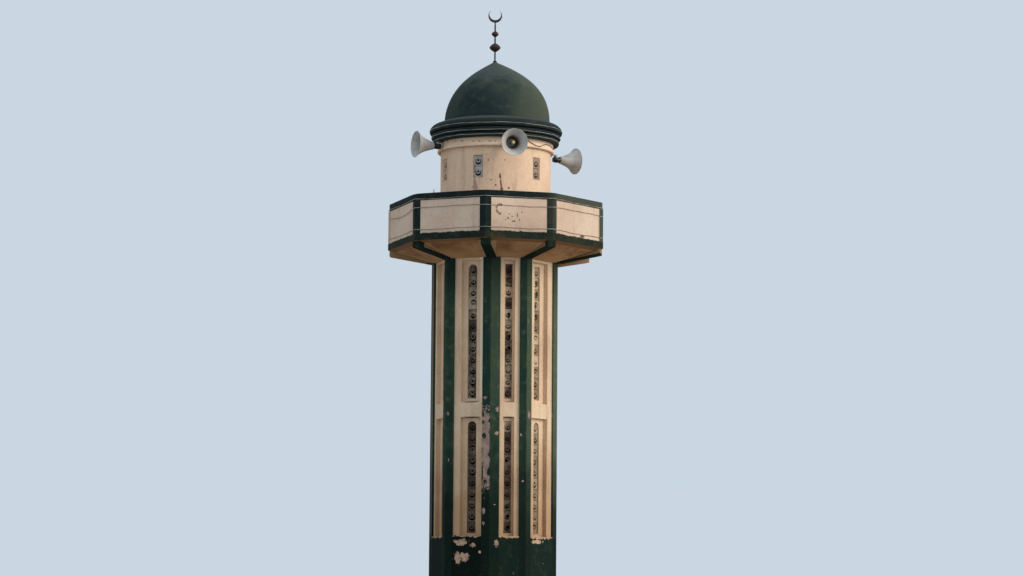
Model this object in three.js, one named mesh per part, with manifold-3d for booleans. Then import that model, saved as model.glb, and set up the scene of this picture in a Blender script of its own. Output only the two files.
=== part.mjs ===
// Octagonal concrete minaret: corner pilasters and screen-filled walls, a cantilevered gallery,
// a round drum, a stepped cornice, a pointed dome and a crescent finial.
// Millimetres, +Z up, the origin at ground level on the tower's axis.
// The front faces -Y. An azimuth is measured from -Y towards +X.
import * as THREE from 'three';
import { mergeVertices } from 'three/addons/utils/BufferGeometryUtils.js';
import { ConvexGeometry } from 'three/addons/geometries/ConvexGeometry.js';
import Module from 'manifold-3d';

const wasm = await Module();
wasm.setup();

// Clearance kept between two pieces that meet on an upright or sloping face
const gap = 0.3;

// Plan: both octagons were set out by hand, so their sides differ. X and Y of each corner in turn,
// from the left-hand one round by the front
const onPlan = ([x, y]) => new THREE.Vector2(x, y);
const shaftCorners = [
  [-1268, 110], [-943, -855], [-71, -1271], [642, -1098],
  [1262, -176], [1130, 585], [71, 1271], [-660, 1088],
].map(onPlan);
const galleryCorners = [
  [-2160, 200], [-1582, -1496], [-194, -2160], [1130, -1790],
  [2160, -400], [1925, 985], [176, 2160], [-1250, 1765],
].map(onPlan);

// Levels above the ground
const dadoTop = 2640;
const lowerSlotBottom = 2700;
const lowerSlotTop = 4889;
const spandrelBottom = 4970;
const spandrelTop = 5262;
const upperSlotBottom = 5333;
const upperSlotTop = 7990;
const shaftTop = 8114;
const beamBottom = 8390;
const deckTop = 8518;
const copingBottom = 9178;
const copingTop = 9316;
const drumTop = 10340;
const neckTop = 10516;
const corniceTop = 10960;
const domeTop = 12225;
const rodTop = 12990;
const crescentLevel = 13179;

// Shaft walls
const wallThickness = 300;
const splitWall = 5;
const splitLevel = 5100;
const wallSetback = 36;
const recessDepth = 85;
const recessWidths = [480, 440, 225, 550, 225, 500, 225, 500];
const slotWidths = [190, 190, 148, 190, 140, 190, 140, 190];

// Walls whose slots have flat heads; the others are arched
const flatUpperSlots = [2, 3];
const flatLowerSlots = [2];

// How far the recesses and the slots sit off their walls' middles, and how far each pilaster reaches
// along the side before its corner and along the side after it
const recessShifts = [0, 38, 16, -37, 0, 0, 0, 0];
const lowerSlotShifts = [0, 32, 24, -15, 0, 0, 0, 0];
const upperSlotShifts = [0, 23, 24, -15, 0, 0, 0, 0];
const pilasterReachBefore = [175, 175, 175, 134, 143, 175, 175, 175];
const pilasterReachAfter = [175, 160, 193, 175, 175, 175, 175, 175];
const lintelHeight = 48;

// Doorway at the foot of the wall that faces back and to the left
const doorFace = 7;
const doorWidth = 680;
const doorHeight = 1950;
const doorSetback = 60;
const leafThickness = 45;
const leafBorder = 60;
const leafSinking = 12;
const doorFootGap = 2;

// Gallery
const beamWidth = 130;
const stairwellRadius = 800;
const parapetSetback = 2;
const parapetThickness = 120;
const postHalfWidth = 120;
const panelSetback = 8;
const panelThickness = 96;
const copingInnerOverhang = 25;
const copingRoundings = [110, 200, 110, 110, 110, 110, 110, 110];
const ribHalfWidth = 95;
const ribNoseInset = 45;
const ribNoseBottom = 8258;
const ribFootBottom = 8096;

// Drum, neck band and cornice
const drumRadius = 1110;
const drumInnerRadius = 960;
const drumSides = 60;
const drumJoints = [-95, -42, 15, 81, 147, 202];
const grilleAzimuths = [-65.7, -18.4, 47, 114.3, 228];
const grilleWidth = 200;
const grilleBottom = 9715;
const grilleTop = 10165;
const galleryDoorAzimuth = 180;
const galleryDoorWidth = 620;
const galleryDoorHeight = 1640;
const neckRadius = 1160;
const neckBeadRadius = 1178;
const turnedSides = 48;

// Dome: one curve from an upright foot to a straight-sided crown. It leans: its foot and shoulder sit
// to the right of the tower's axis and its tip, with the finial, to the left
const domeFootRadius = 1062;
const domeTipRadius = 26;
const domeFootPull = 825;
const domeCrownPull = 155;
const domeCrownSlope = 1.75;
const domeShell = 100;
const domeLeanFoot = 20;
const domeLeanSwell = 40;
const domeLeanTip = -92;
const finialShift = domeLeanFoot + domeLeanSwell + domeLeanTip;

// Finial
const rodRadius = 16;
const lowerBulbLevel = 12525;
const lowerBulbRadius = 113;
const lowerBulbHalfHeight = 88;
const upperBulbLevel = 12803;
const upperBulbRadius = 72;
const upperBulbHalfHeight = 60;
const crescentRadius = 139;
const crescentThickness = 50;
const crescentDepth = 30;
const crescentGapHalfAngle = 43;

// Loudspeaker horns: azimuth, level of the axis, distance of the mouth from the tower's axis, tilt up
const horns = [
  { azimuth: -66.6, level: 10426, reach: 1744, tilt: 1.5 },
  { azimuth: 12.2, level: 10324, reach: 1745, tilt: -6 },
  { azimuth: 121.7, level: 10362, reach: 1923, tilt: 1 },
  { azimuth: 195, level: 10350, reach: 1745, tilt: 0 },
];
const hornLength = 545;
const hornMouthRadius = 267;
const driverRadius = 59;
const driverLength = 160;
const hornSides = 20;
const saddleStart = 45;
const saddleWidth = 40;
const saddleHalf = 45;
const armRise = 28;
const armThickness = 20;
const armHalf = 15;
const plateHalf = 35;
const plateHeight = 100;
const plateThickness = 8;
const plateDrop = 5;
const beforeTrim = 30;

// Light strings laid round the parapet and the cornice
const stringSize = 8;
const panelStringLevels = [8596, 9026];
const copingStringLevel = 9200;
const corniceStrings = [
  { radius: 1270, level: 10554 },
  { radius: 1300, level: 10640 },
  { radius: 1335, level: 10776 },
];

// Turning an azimuth into a direction on plan
const radians = (degrees) => degrees * Math.PI / 180;
const outward = (azimuth) => new THREE.Vector2(Math.sin(radians(azimuth)), -Math.cos(radians(azimuth)));

// The sides of an octagon: side 0 runs from corner 0 to corner 1
function sidesOf(corners) {
  return corners.map((start, index) => {
    const end = corners[(index + 1) % corners.length];
    const along = end.clone().sub(start);
    const halfLength = along.length() / 2;
    along.normalize();
    const out = new THREE.Vector2(along.y, -along.x);
    const middle = start.clone().add(end).multiplyScalar(0.5);
    return { middle, along, out, halfLength, turn: Math.atan2(along.y, along.x) };
  });
}

// An octagon moved in on all sides by one depth, or out where the depth is negative
function inset(corners, depth) {
  const sides = sidesOf(corners);
  return corners.map((corner, index) => {
    const before = sides[(index + 7) % 8].out;
    const after = sides[index].out;
    const step = before.clone().add(after).multiplyScalar(depth / (1 + before.dot(after)));
    return corner.clone().sub(step);
  });
}

// An octagon whose corners are rounded off, each over a given length of both its sides
function roundedOff(corners, lengths) {
  const sides = sidesOf(corners);
  return corners.flatMap((corner, index) => {
    const start = corner.clone().addScaledVector(sides[(index + 7) % 8].along, -lengths[index]);
    const end = corner.clone().addScaledVector(sides[index].along, lengths[index]);
    return new THREE.QuadraticBezierCurve(start, corner, end).getPoints(4);
  });
}

const shaftSides = sidesOf(shaftCorners);
const gallerySides = sidesOf(galleryCorners);

function circle(radius, sides) {
  const points = [];
  for (let side = 0; side < sides; side += 1) {
    points.push(outward(side * 360 / sides).multiplyScalar(radius));
  }
  return points;
}

// Closed solids from three.js geometry
function solid(geometry) {
  const bare = new THREE.BufferGeometry();
  bare.setAttribute('position', geometry.getAttribute('position'));
  if (geometry.index) bare.setIndex(geometry.index);
  const merged = mergeVertices(bare, 1e-3);
  const corners = merged.index.array;
  const kept = [];
  for (let first = 0; first < corners.length; first += 3) {
    const [a, b, c] = [corners[first], corners[first + 1], corners[first + 2]];
    if (a !== b && b !== c && c !== a) kept.push(a, b, c);
  }
  const position = merged.getAttribute('position').array;
  if (signedVolume(position, kept) < 0) kept.reverse();
  const mesh = new wasm.Mesh({
    numProp: 3,
    vertProperties: new Float32Array(position),
    triVerts: new Uint32Array(kept),
  });
  return new wasm.Manifold(mesh);
}

function signedVolume(position, corners) {
  const [a, b, c] = [new THREE.Vector3(), new THREE.Vector3(), new THREE.Vector3()];
  let total = 0;
  for (let first = 0; first < corners.length; first += 3) {
    a.fromArray(position, corners[first] * 3);
    b.fromArray(position, corners[first + 1] * 3);
    c.fromArray(position, corners[first + 2] * 3);
    total += a.dot(b.cross(c));
  }
  return total;
}

function block(x0, x1, y0, y1, z0, z1) {
  const geometry = new THREE.BoxGeometry(x1 - x0, y1 - y0, z1 - z0);
  geometry.translate((x0 + x1) / 2, (y0 + y1) / 2, (z0 + z1) / 2);
  return solid(geometry);
}

function prism(outline, bottom, top) {
  const geometry = new THREE.ExtrudeGeometry(new THREE.Shape(outline), {
    depth: top - bottom,
    bevelEnabled: false,
  });
  geometry.translate(0, 0, bottom);
  return solid(geometry);
}

function ringPrism(outer, inner, bottom, top) {
  return prism(outer, bottom, top).subtract(prism(inner, bottom - 1, top + 1));
}

function turned(profile, sides) {
  const geometry = new THREE.LatheGeometry(profile, sides);
  geometry.rotateX(Math.PI / 2);
  return solid(geometry);
}

// A slot with a round head, cut along Y through anything between y0 and y1
function archedSlot(half, bottom, top, y0, y1) {
  const shape = new THREE.Shape();
  shape.moveTo(-half, bottom);
  shape.lineTo(half, bottom);
  shape.lineTo(half, top - half);
  shape.absarc(0, top - half, half, 0, Math.PI, false);
  shape.lineTo(-half, bottom);
  const geometry = new THREE.ExtrudeGeometry(shape, {
    depth: y1 - y0,
    bevelEnabled: false,
    curveSegments: 8,
  });
  geometry.rotateX(Math.PI / 2);
  geometry.translate(0, y1, 0);
  return solid(geometry);
}

// Meshes for the group
const minaret = new THREE.Group();
const finishes = {
  greenPaint: { color: 0x2f4a45, roughness: 0.85, metalness: 0 },
  domePaint: { color: 0x33513f, roughness: 0.8, metalness: 0 },
  creamRender: { color: 0xc9b08e, roughness: 0.9, metalness: 0 },
  deckConcrete: { color: 0xa08a70, roughness: 0.92, metalness: 0 },
  doorSteel: { color: 0x3c4f4a, roughness: 0.6, metalness: 0.4 },
  finialSteel: { color: 0x3a2c27, roughness: 0.5, metalness: 0.7 },
  hornEnamel: { color: 0xb9b7ae, roughness: 0.45, metalness: 0.1 },
  bracketSteel: { color: 0x4a4845, roughness: 0.55, metalness: 0.7 },
  stringCable: { color: 0xd8d4c4, roughness: 0.6, metalness: 0 },
};

function addMesh(name, shape, finish, parent = minaret) {
  const { vertProperties, triVerts } = shape.getMesh();
  const geometry = new THREE.BufferGeometry();
  geometry.setAttribute('position', new THREE.BufferAttribute(new Float32Array(vertProperties), 3));
  geometry.setIndex(new THREE.BufferAttribute(new Uint32Array(triVerts), 1));
  const mesh = new THREE.Mesh(geometry, new THREE.MeshStandardMaterial(finishes[finish]));
  mesh.name = name;
  parent.add(mesh);
}

// A group on the tower's axis, turned so that -Y points along an azimuth
function facing(azimuth) {
  const group = new THREE.Group();
  group.rotation.z = radians(azimuth);
  minaret.add(group);
  return group;
}

// A group in the middle of an octagon's side, with X along the side and -Y pointing out of it
function onSide(side) {
  const group = new THREE.Group();
  group.position.set(side.middle.x, side.middle.y, 0);
  group.rotation.z = side.turn;
  minaret.add(group);
  return group;
}

// A chevron on plan: the corner of a hollow octagon, reaching a given length along each side
function chevron(corners, index, depth, reachBefore, reachAfter) {
  const sides = sidesOf(corners);
  const before = sides[(index + 7) % 8];
  const after = sides[index];
  const arris = corners[index];
  const start = arris.clone().addScaledVector(before.along, -reachBefore);
  const end = arris.clone().addScaledVector(after.along, reachAfter);
  const innerStart = start.clone().addScaledVector(before.out, -depth);
  const innerEnd = end.clone().addScaledVector(after.out, -depth);
  return [arris, end, innerEnd, inset(corners, depth)[index], innerStart, start];
}

// The gallery's whole floor: level on top, sloping down underneath from its edge to the shaft
const levelled = (outline, level) => outline.map(({ x, y }) => new THREE.Vector3(x, y, level));
const galleryFloor = solid(new ConvexGeometry([
  ...levelled(galleryCorners, deckTop),
  ...levelled(galleryCorners, beamBottom),
  ...levelled(shaftCorners, shaftTop),
]));

// Corner pilasters: each rises from the ground and carries a rib out to the gallery's corner
function rib(corner) {
  const foot = shaftCorners[corner];
  const reach = galleryCorners[corner].clone().sub(foot);
  const nose = reach.length() - ribNoseInset;
  const root = -60;
  const top = (beamBottom + deckTop) / 2;
  const side = new THREE.Shape([
    new THREE.Vector2(root, ribFootBottom),
    new THREE.Vector2(0, ribFootBottom),
    new THREE.Vector2(nose, ribNoseBottom),
    new THREE.Vector2(nose, top),
    new THREE.Vector2(root, top),
  ]);
  const geometry = new THREE.ExtrudeGeometry(side, { depth: 2 * ribHalfWidth, bevelEnabled: false });
  geometry.translate(0, 0, -ribHalfWidth);
  geometry.rotateX(Math.PI / 2);
  geometry.rotateZ(Math.atan2(reach.y, reach.x));
  geometry.translate(foot.x, foot.y, 0);
  return solid(geometry).subtract(galleryFloor.translate([0, 0, -gap]));
}

for (let corner = 0; corner < 8; corner += 1) {
  const [before, after] = [pilasterReachBefore[corner], pilasterReachAfter[corner]];
  const outline = chevron(shaftCorners, corner, wallThickness, before, after);
  addMesh(`pilaster_${corner + 1}`, prism(outline, 0, shaftTop).add(rib(corner)), 'greenPaint');
}

// Walls between the pilasters: a flush dado, then a set-back wall with a sunk panel and two slots.
// The widest is in two lifts, one on the other
shaftSides.forEach((side, index) => {
  const start = -side.halfLength + pilasterReachAfter[index] + gap;
  const end = side.halfLength - pilasterReachBefore[(index + 1) % 8] - gap;
  const sunk = wallSetback + recessDepth;
  const recessStart = recessShifts[index] - recessWidths[index] / 2;
  const recessEnd = recessShifts[index] + recessWidths[index] / 2;
  const recessTop = shaftTop - lintelHeight;
  const half = slotWidths[index] / 2;
  const beyond = 50;
  const front = -beyond;
  const back = wallThickness + beyond;
  const lowerSlot = flatLowerSlots.includes(index)
    ? block(-half, half, front, back, lowerSlotBottom, lowerSlotTop)
    : archedSlot(half, lowerSlotBottom, lowerSlotTop, front, back);
  const upperSlot = flatUpperSlots.includes(index)
    ? block(-half, half, front, back, upperSlotBottom, upperSlotTop)
    : archedSlot(half, upperSlotBottom, upperSlotTop, front, back);
  let wall = block(start, end, 0, wallThickness, 0, shaftTop);
  wall = wall.subtract(block(start - beyond, end + beyond, front, wallSetback, dadoTop, shaftTop + beyond));
  wall = wall.subtract(block(recessStart, recessEnd, front, sunk, dadoTop, spandrelBottom));
  wall = wall.subtract(block(recessStart, recessEnd, front, sunk, spandrelTop, recessTop));
  wall = wall.subtract(lowerSlot.translate([lowerSlotShifts[index], 0, 0]));
  wall = wall.subtract(upperSlot.translate([upperSlotShifts[index], 0, 0]));
  if (index === doorFace) {
    wall = wall.subtract(block(-doorWidth / 2, doorWidth / 2, front, back, -beyond, doorHeight));
  }
  if (index === splitWall) {
    const upperLift = wall.intersect(block(start - beyond, end + beyond, front, back, splitLevel, shaftTop));
    addMesh(`wall_${index + 1}_upper`, upperLift, 'creamRender', onSide(side));
    wall = wall.intersect(block(start - beyond, end + beyond, front, back, 0, splitLevel));
  }
  addMesh(`wall_${index + 1}`, wall, 'creamRender', onSide(side));
});

// Sheet-steel leaf of a door, with a raised border round a sunk field
function doorLeaf(width, front, bottom, top) {
  const half = width / 2 - gap;
  const leaf = block(-half, half, front, front + leafThickness, bottom, top);
  const sinking = block(
    -half + leafBorder, half - leafBorder,
    front - 1, front + leafSinking,
    bottom + leafBorder, top - leafBorder,
  );
  return leaf.subtract(sinking);
}

// Steel door at the foot, fixed shut
const baseLeaf = doorLeaf(doorWidth, doorSetback, doorFootGap, doorHeight - gap);
addMesh('base_door', baseLeaf, 'doorSteel', onSide(shaftSides[doorFace]));

// Gallery floor and the beam round its edge
const stairwell = prism(circle(stairwellRadius, turnedSides), shaftTop - 50, deckTop + 50);
const floorOutline = prism(inset(galleryCorners, beamWidth + gap), shaftTop - 50, deckTop + 50);
const beamCore = prism(inset(galleryCorners, beamWidth), shaftTop - 50, deckTop + 50);
addMesh('gallery_deck', galleryFloor.intersect(floorOutline).subtract(stairwell), 'deckConcrete');
addMesh('gallery_edge_beam', galleryFloor.subtract(beamCore), 'greenPaint');

// Parapet: corner posts, rendered panels between them and a coping with rounded corners on top
const parapetCorners = inset(galleryCorners, parapetSetback);
for (let corner = 0; corner < 8; corner += 1) {
  const outline = chevron(parapetCorners, corner, parapetThickness, postHalfWidth, postHalfWidth);
  addMesh(`parapet_post_${corner + 1}`, prism(outline, deckTop, copingBottom), 'greenPaint');
}
sidesOf(parapetCorners).forEach((side, index) => {
  const half = side.halfLength - postHalfWidth - gap;
  const back = panelSetback + panelThickness;
  const panel = block(-half, half, panelSetback, back, deckTop, copingBottom);
  addMesh(`parapet_panel_${index + 1}`, panel, 'creamRender', onSide(side));
});
const copingOuter = roundedOff(galleryCorners, copingRoundings);
const copingInner = inset(parapetCorners, parapetThickness + copingInnerOverhang);
addMesh('parapet_coping', ringPrism(copingOuter, copingInner, copingBottom, copingTop), 'greenPaint');

// Drum wall, in arcs that each hold one grille opening or the gallery door
const drumRing = ringPrism(
  circle(drumRadius, drumSides), circle(drumInnerRadius, drumSides), deckTop, drumTop,
);

function throughDrum(azimuth, width, bottom, top) {
  const geometry = new THREE.BoxGeometry(width, 400, top - bottom);
  geometry.translate(0, -(drumRadius + drumInnerRadius) / 2, (bottom + top) / 2);
  geometry.rotateZ(radians(azimuth));
  return solid(geometry);
}

function sector(start, end) {
  const reach = 2 * drumRadius;
  const middle = (start + end) / 2;
  const tip = outward(middle).multiplyScalar(gap / 2 / Math.sin(radians((end - start) / 2)));
  const points = [tip];
  for (const azimuth of [start, middle, end]) {
    points.push(outward(azimuth).multiplyScalar(reach).add(tip));
  }
  return prism(points, deckTop - 50, drumTop + 50);
}

drumJoints.forEach((start, index) => {
  const end = index < 5 ? drumJoints[index + 1] : drumJoints[0] + 360;
  let arc = drumRing.intersect(sector(start, end));
  for (const azimuth of grilleAzimuths) {
    if (azimuth > start && azimuth < end) {
      arc = arc.subtract(throughDrum(azimuth, grilleWidth, grilleBottom, grilleTop));
    }
  }
  if (galleryDoorAzimuth > start && galleryDoorAzimuth < end) {
    const doorTop = deckTop + galleryDoorHeight;
    arc = arc.subtract(throughDrum(galleryDoorAzimuth, galleryDoorWidth, deckTop - 50, doorTop));
  }
  addMesh(`drum_wall_${index + 1}`, arc, 'creamRender');
});

// Gallery door, set into the drum wall and fixed shut
const galleryLeafFront = -drumInnerRadius - 20;
const galleryLeafTop = deckTop + galleryDoorHeight - gap;
const galleryLeaf = doorLeaf(galleryDoorWidth, galleryLeafFront, deckTop + 0.5, galleryLeafTop);
addMesh('gallery_door', galleryLeaf, 'doorSteel', facing(galleryDoorAzimuth));

// Neck band with a bead at its foot, and the stepped cornice with its sloping top
const profilePoint = ([radius, level]) => new THREE.Vector2(radius, level);
const neckProfile = [
  [drumInnerRadius, drumTop],
  [neckBeadRadius - 12, drumTop],
  [neckBeadRadius - 3, drumTop + 12],
  [neckBeadRadius, drumTop + 32],
  [neckBeadRadius - 3, drumTop + 52],
  [neckRadius, drumTop + 66],
  [neckRadius, neckTop],
  [drumInnerRadius, neckTop],
  [drumInnerRadius, drumTop],
].map(profilePoint);
addMesh('neck_band', turned(neckProfile, turnedSides), 'creamRender');

const corniceProfile = [
  [drumInnerRadius, neckTop],
  [1262, neckTop],
  [1270, neckTop + 12],
  [1270, 10600],
  [1238, 10606],
  [1238, 10616],
  [1296, 10622],
  [1300, 10634],
  [1300, 10700],
  [1250, 10706],
  [1250, 10726],
  [1328, 10732],
  [1335, 10748],
  [1335, 10792],
  [1316, 10842],
  [1256, 10896],
  [1116, 10948],
  [1086, corniceTop],
  [drumInnerRadius, corniceTop],
  [drumInnerRadius, neckTop],
].map(profilePoint);
addMesh('cornice', turned(corniceProfile, turnedSides), 'greenPaint');

// Dome: an inner and an outer surface, open underneath
function domeCurve(footRadius, tipRadius, tipLevel) {
  return new THREE.CubicBezierCurve(
    new THREE.Vector2(footRadius, corniceTop),
    new THREE.Vector2(footRadius, corniceTop + domeFootPull * (tipLevel - corniceTop) / (domeTop - corniceTop)),
    new THREE.Vector2(tipRadius + domeCrownPull * domeCrownSlope, tipLevel - domeCrownPull),
    new THREE.Vector2(tipRadius, tipLevel),
  );
}

function leaned(geometry) {
  const position = geometry.getAttribute('position');
  for (let index = 0; index < position.count; index += 1) {
    const share = (position.getZ(index) - corniceTop) / (domeTop - corniceTop);
    const shift = domeLeanFoot + domeLeanSwell * share + domeLeanTip * share ** 4;
    position.setX(index, position.getX(index) + shift);
  }
  return geometry;
}

{
  const outer = domeCurve(domeFootRadius, domeTipRadius, domeTop).getPoints(18);
  const inner = domeCurve(domeFootRadius - domeShell, 0, domeTop - 2 * domeShell).getPoints(8).reverse();
  const geometry = new THREE.LatheGeometry([...inner, ...outer, new THREE.Vector2(0, domeTop)], turnedSides);
  geometry.rotateX(Math.PI / 2);
  addMesh('dome', solid(leaned(geometry)), 'domePaint');
}

// Finial: a rod through two bulbs, each of two bowls set rim to rim, and a crescent that opens upwards
function bulb(level, radius, halfHeight) {
  const lowerBowl = new THREE.QuadraticBezierCurve(
    new THREE.Vector2(rodRadius, level - halfHeight),
    new THREE.Vector2(0.72 * radius, level - 0.7 * halfHeight),
    new THREE.Vector2(radius, level),
  ).getPoints(4);
  const upperBowl = lowerBowl.slice(0, -1).reverse();
  return [...lowerBowl, ...upperBowl.map(({ x, y }) => new THREE.Vector2(x, 2 * level - y))];
}

const finialProfile = [
  new THREE.Vector2(0, domeTop),
  new THREE.Vector2(40, domeTop),
  new THREE.Vector2(40, domeTop + 14),
  new THREE.Vector2(rodRadius, domeTop + 34),
  ...bulb(lowerBulbLevel, lowerBulbRadius, lowerBulbHalfHeight),
  ...bulb(upperBulbLevel, upperBulbRadius, upperBulbHalfHeight),
  new THREE.Vector2(rodRadius, rodTop),
  new THREE.Vector2(0, rodTop),
];
addMesh('finial', turned(finialProfile, 16).translate([finialShift, 0, 0]), 'finialSteel');

function crescentShape() {
  const gapHalf = radians(crescentGapHalfAngle);
  const start = Math.PI / 2 - gapHalf;
  const tipX = crescentRadius * Math.cos(start);
  const tipY = crescentRadius * Math.sin(start);
  const innerBottom = -crescentRadius + crescentThickness;
  const innerCentre = (tipX * tipX + tipY * tipY - innerBottom * innerBottom) / (2 * (tipY - innerBottom));
  const innerRadius = innerCentre - innerBottom;
  const innerTip = Math.atan2(tipY - innerCentre, tipX);
  const shape = new THREE.Shape();
  shape.absarc(0, 0, crescentRadius, Math.PI - start, 2 * Math.PI + start, false);
  shape.absarc(0, innerCentre, innerRadius, innerTip, -Math.PI - innerTip, true);
  return shape;
}

{
  const geometry = new THREE.ExtrudeGeometry(crescentShape(), {
    depth: crescentDepth,
    bevelEnabled: false,
    curveSegments: 20,
  });
  geometry.translate(0, 0, -crescentDepth / 2);
  geometry.rotateX(Math.PI / 2);
  geometry.translate(0, 0, crescentLevel);
  const bottom = crescentLevel - crescentRadius;
  const stub = prism(circle(14, 12), rodTop, bottom + 20);
  addMesh('crescent', solid(geometry).add(stub).translate([finialShift, 0, 0]), 'finialSteel');
}

// Horns: a flared bell round a re-entrant cone, with the driver behind, hung from a bracket whose
// saddle is strapped over the driver
const bellSheet = 8;
const throatRadius = 72;
const bellDepth = hornLength - driverLength;
const hornProfile = [
  [0, 0],
  [driverRadius - 10, 0],
  [driverRadius, 10],
  [driverRadius, driverLength - 12],
  [driverRadius - 14, driverLength],
  [throatRadius, driverLength + 12],
  [throatRadius + 34, driverLength + 0.3 * bellDepth],
  [throatRadius + 80, driverLength + 0.6 * bellDepth],
  [throatRadius + 134, driverLength + 0.82 * bellDepth],
  [hornMouthRadius - 14, hornLength - 12],
  [hornMouthRadius, hornLength - 6],
  [hornMouthRadius, hornLength],
  [hornMouthRadius - bellSheet, hornLength],
  [throatRadius + 134 - bellSheet, driverLength + 0.84 * bellDepth],
  [throatRadius + 80 - bellSheet, driverLength + 0.62 * bellDepth],
  [throatRadius + 34 - bellSheet, driverLength + 0.32 * bellDepth],
  [70, driverLength + 0.2 * bellDepth],
  [40, driverLength + 0.2 * bellDepth],
  [70, driverLength + 0.62 * bellDepth],
  [62, driverLength + 0.68 * bellDepth],
  [0, driverLength + 0.72 * bellDepth],
].map(profilePoint);

horns.forEach((horn, index) => {
  const turret = facing(horn.azimuth);
  const tilting = new THREE.Group();
  tilting.position.set(0, -horn.reach, horn.level);
  tilting.rotation.x = -radians(horn.tilt);
  turret.add(tilting);
  const geometry = new THREE.LatheGeometry(hornProfile, hornSides);
  geometry.rotateX(Math.PI);
  geometry.translate(0, hornLength, 0);
  addMesh(`horn_${index + 1}`, solid(geometry), 'hornEnamel', tilting);
});

horns.forEach((horn, index) => {
  const driverBack = horn.reach - hornLength;
  const saddleInner = driverBack + saddleStart;
  const saddleOuter = saddleInner + saddleWidth;
  const middle = (saddleInner + saddleOuter) / 2;
  const axis = horn.level - Math.tan(radians(horn.tilt)) * (horn.reach - middle);
  const plateTop = neckTop - plateDrop;
  const arm = Math.min(axis + driverRadius + armRise, plateTop - armThickness);
  const within = -neckRadius + beforeTrim;
  const plateFront = -neckRadius - plateThickness;
  const plate = block(-plateHalf, plateHalf, plateFront, within, plateTop - plateHeight, plateTop);
  const bar = block(-armHalf, armHalf, -saddleOuter, within, arm, arm + armThickness);
  const saddle = block(-saddleHalf, saddleHalf, -saddleOuter, -saddleInner, axis, arm + 1);
  const driverRoom = new THREE.CylinderGeometry(driverRadius + gap, driverRadius + gap, driverLength, 60);
  driverRoom.rotateX(-radians(horn.tilt));
  driverRoom.translate(0, -middle, axis);
  const bracket = plate.add(bar).add(saddle.subtract(solid(driverRoom)));
  const neckCore = prism(circle(neckRadius + gap, turnedSides), neckTop - 150, neckTop + 50);
  const turnedCore = neckCore.rotate([0, 0, -horn.azimuth]);
  addMesh(`horn_bracket_${index + 1}`, bracket.subtract(turnedCore), 'bracketSteel', facing(horn.azimuth));
});

// Light strings: two turns round the parapet and one round its coping, and three round the cornice,
// each joined by a riser at the back
function joinedTurns(turns, riser) {
  let strings = riser;
  for (const turn of turns) {
    strings = strings.add(turn);
  }
  return strings;
}

function stringTurn(corners, level) {
  return ringPrism(inset(corners, -gap - stringSize), inset(corners, -gap), level, level + stringSize);
}

{
  const turns = panelStringLevels.map((level) => stringTurn(parapetCorners, level));
  turns.push(stringTurn(galleryCorners, copingStringLevel));
  const middleLevel = (panelStringLevels[0] + copingStringLevel + stringSize) / 2;
  const height = copingStringLevel - panelStringLevels[0] + stringSize / 2;
  const back = gallerySides[5];
  const geometry = new THREE.BoxGeometry(stringSize, 4, height);
  geometry.translate(0, -5, middleLevel);
  geometry.rotateZ(back.turn);
  geometry.translate(back.middle.x, back.middle.y, 0);
  addMesh('light_string_gallery', joinedTurns(turns, solid(geometry)), 'stringCable');
}

{
  const turns = corniceStrings.map(({ radius, level }) => ringPrism(
    circle(radius + gap + stringSize, turnedSides), circle(radius + gap, turnedSides),
    level, level + stringSize,
  ));
  const [lowest, middle, highest] = corniceStrings;
  const outside = highest.radius + gap + stringSize;
  const bar = block(-4, 4, outside - stringSize, outside - 1, lowest.level, highest.level + 4);
  const lowStub = block(-4, 4, lowest.radius + 2, outside - 1, lowest.level, lowest.level + stringSize);
  const middleStub = block(-4, 4, middle.radius + 2, outside - 1, middle.level, middle.level + stringSize);
  const riser = bar.add(lowStub).add(middleStub);
  addMesh('light_string_cornice', joinedTurns(turns, riser), 'stringCable');
}

export default minaret;
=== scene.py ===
import math
import random

import bpy
from mathutils import Matrix, Vector


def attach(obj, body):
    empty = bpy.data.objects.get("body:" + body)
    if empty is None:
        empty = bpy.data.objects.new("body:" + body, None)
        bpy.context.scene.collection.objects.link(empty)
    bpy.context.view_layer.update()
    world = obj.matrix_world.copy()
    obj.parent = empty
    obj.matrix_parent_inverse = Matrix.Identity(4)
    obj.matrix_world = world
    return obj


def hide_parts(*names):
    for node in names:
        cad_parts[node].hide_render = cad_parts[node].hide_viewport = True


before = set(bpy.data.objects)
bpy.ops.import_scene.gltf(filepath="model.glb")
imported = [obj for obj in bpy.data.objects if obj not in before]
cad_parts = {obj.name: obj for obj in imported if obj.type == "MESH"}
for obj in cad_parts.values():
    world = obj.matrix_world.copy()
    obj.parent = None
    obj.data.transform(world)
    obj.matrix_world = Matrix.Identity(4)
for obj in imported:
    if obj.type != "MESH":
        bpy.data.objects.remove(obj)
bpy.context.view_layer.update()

# Camera and light: a long lens low down in front of the tower, turned a little to the right, tipped
# up and a touch off level. A pale sky lights everything, and a broad warm light comes from the right.
camera_place = Vector((0.0, -56.518, 1.566))
camera_pitch = math.radians(6.123)
camera_yaw = math.radians(-0.352)
camera_roll = math.radians(0.415)
bpy.ops.object.camera_add(location=camera_place)
camera = bpy.context.object
camera.name = "camera"
camera.data.lens = 99.5
camera.data.sensor_width = 36
camera.data.clip_end = 400
turn = Matrix.Rotation(camera_yaw, 4, "Z") @ Matrix.Rotation(math.pi / 2 + camera_pitch, 4, "X")
camera.rotation_euler = (turn @ Matrix.Rotation(camera_roll, 4, "Z")).to_euler()
bpy.context.scene.camera = camera
bpy.context.scene.view_settings.view_transform = "Standard"

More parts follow.
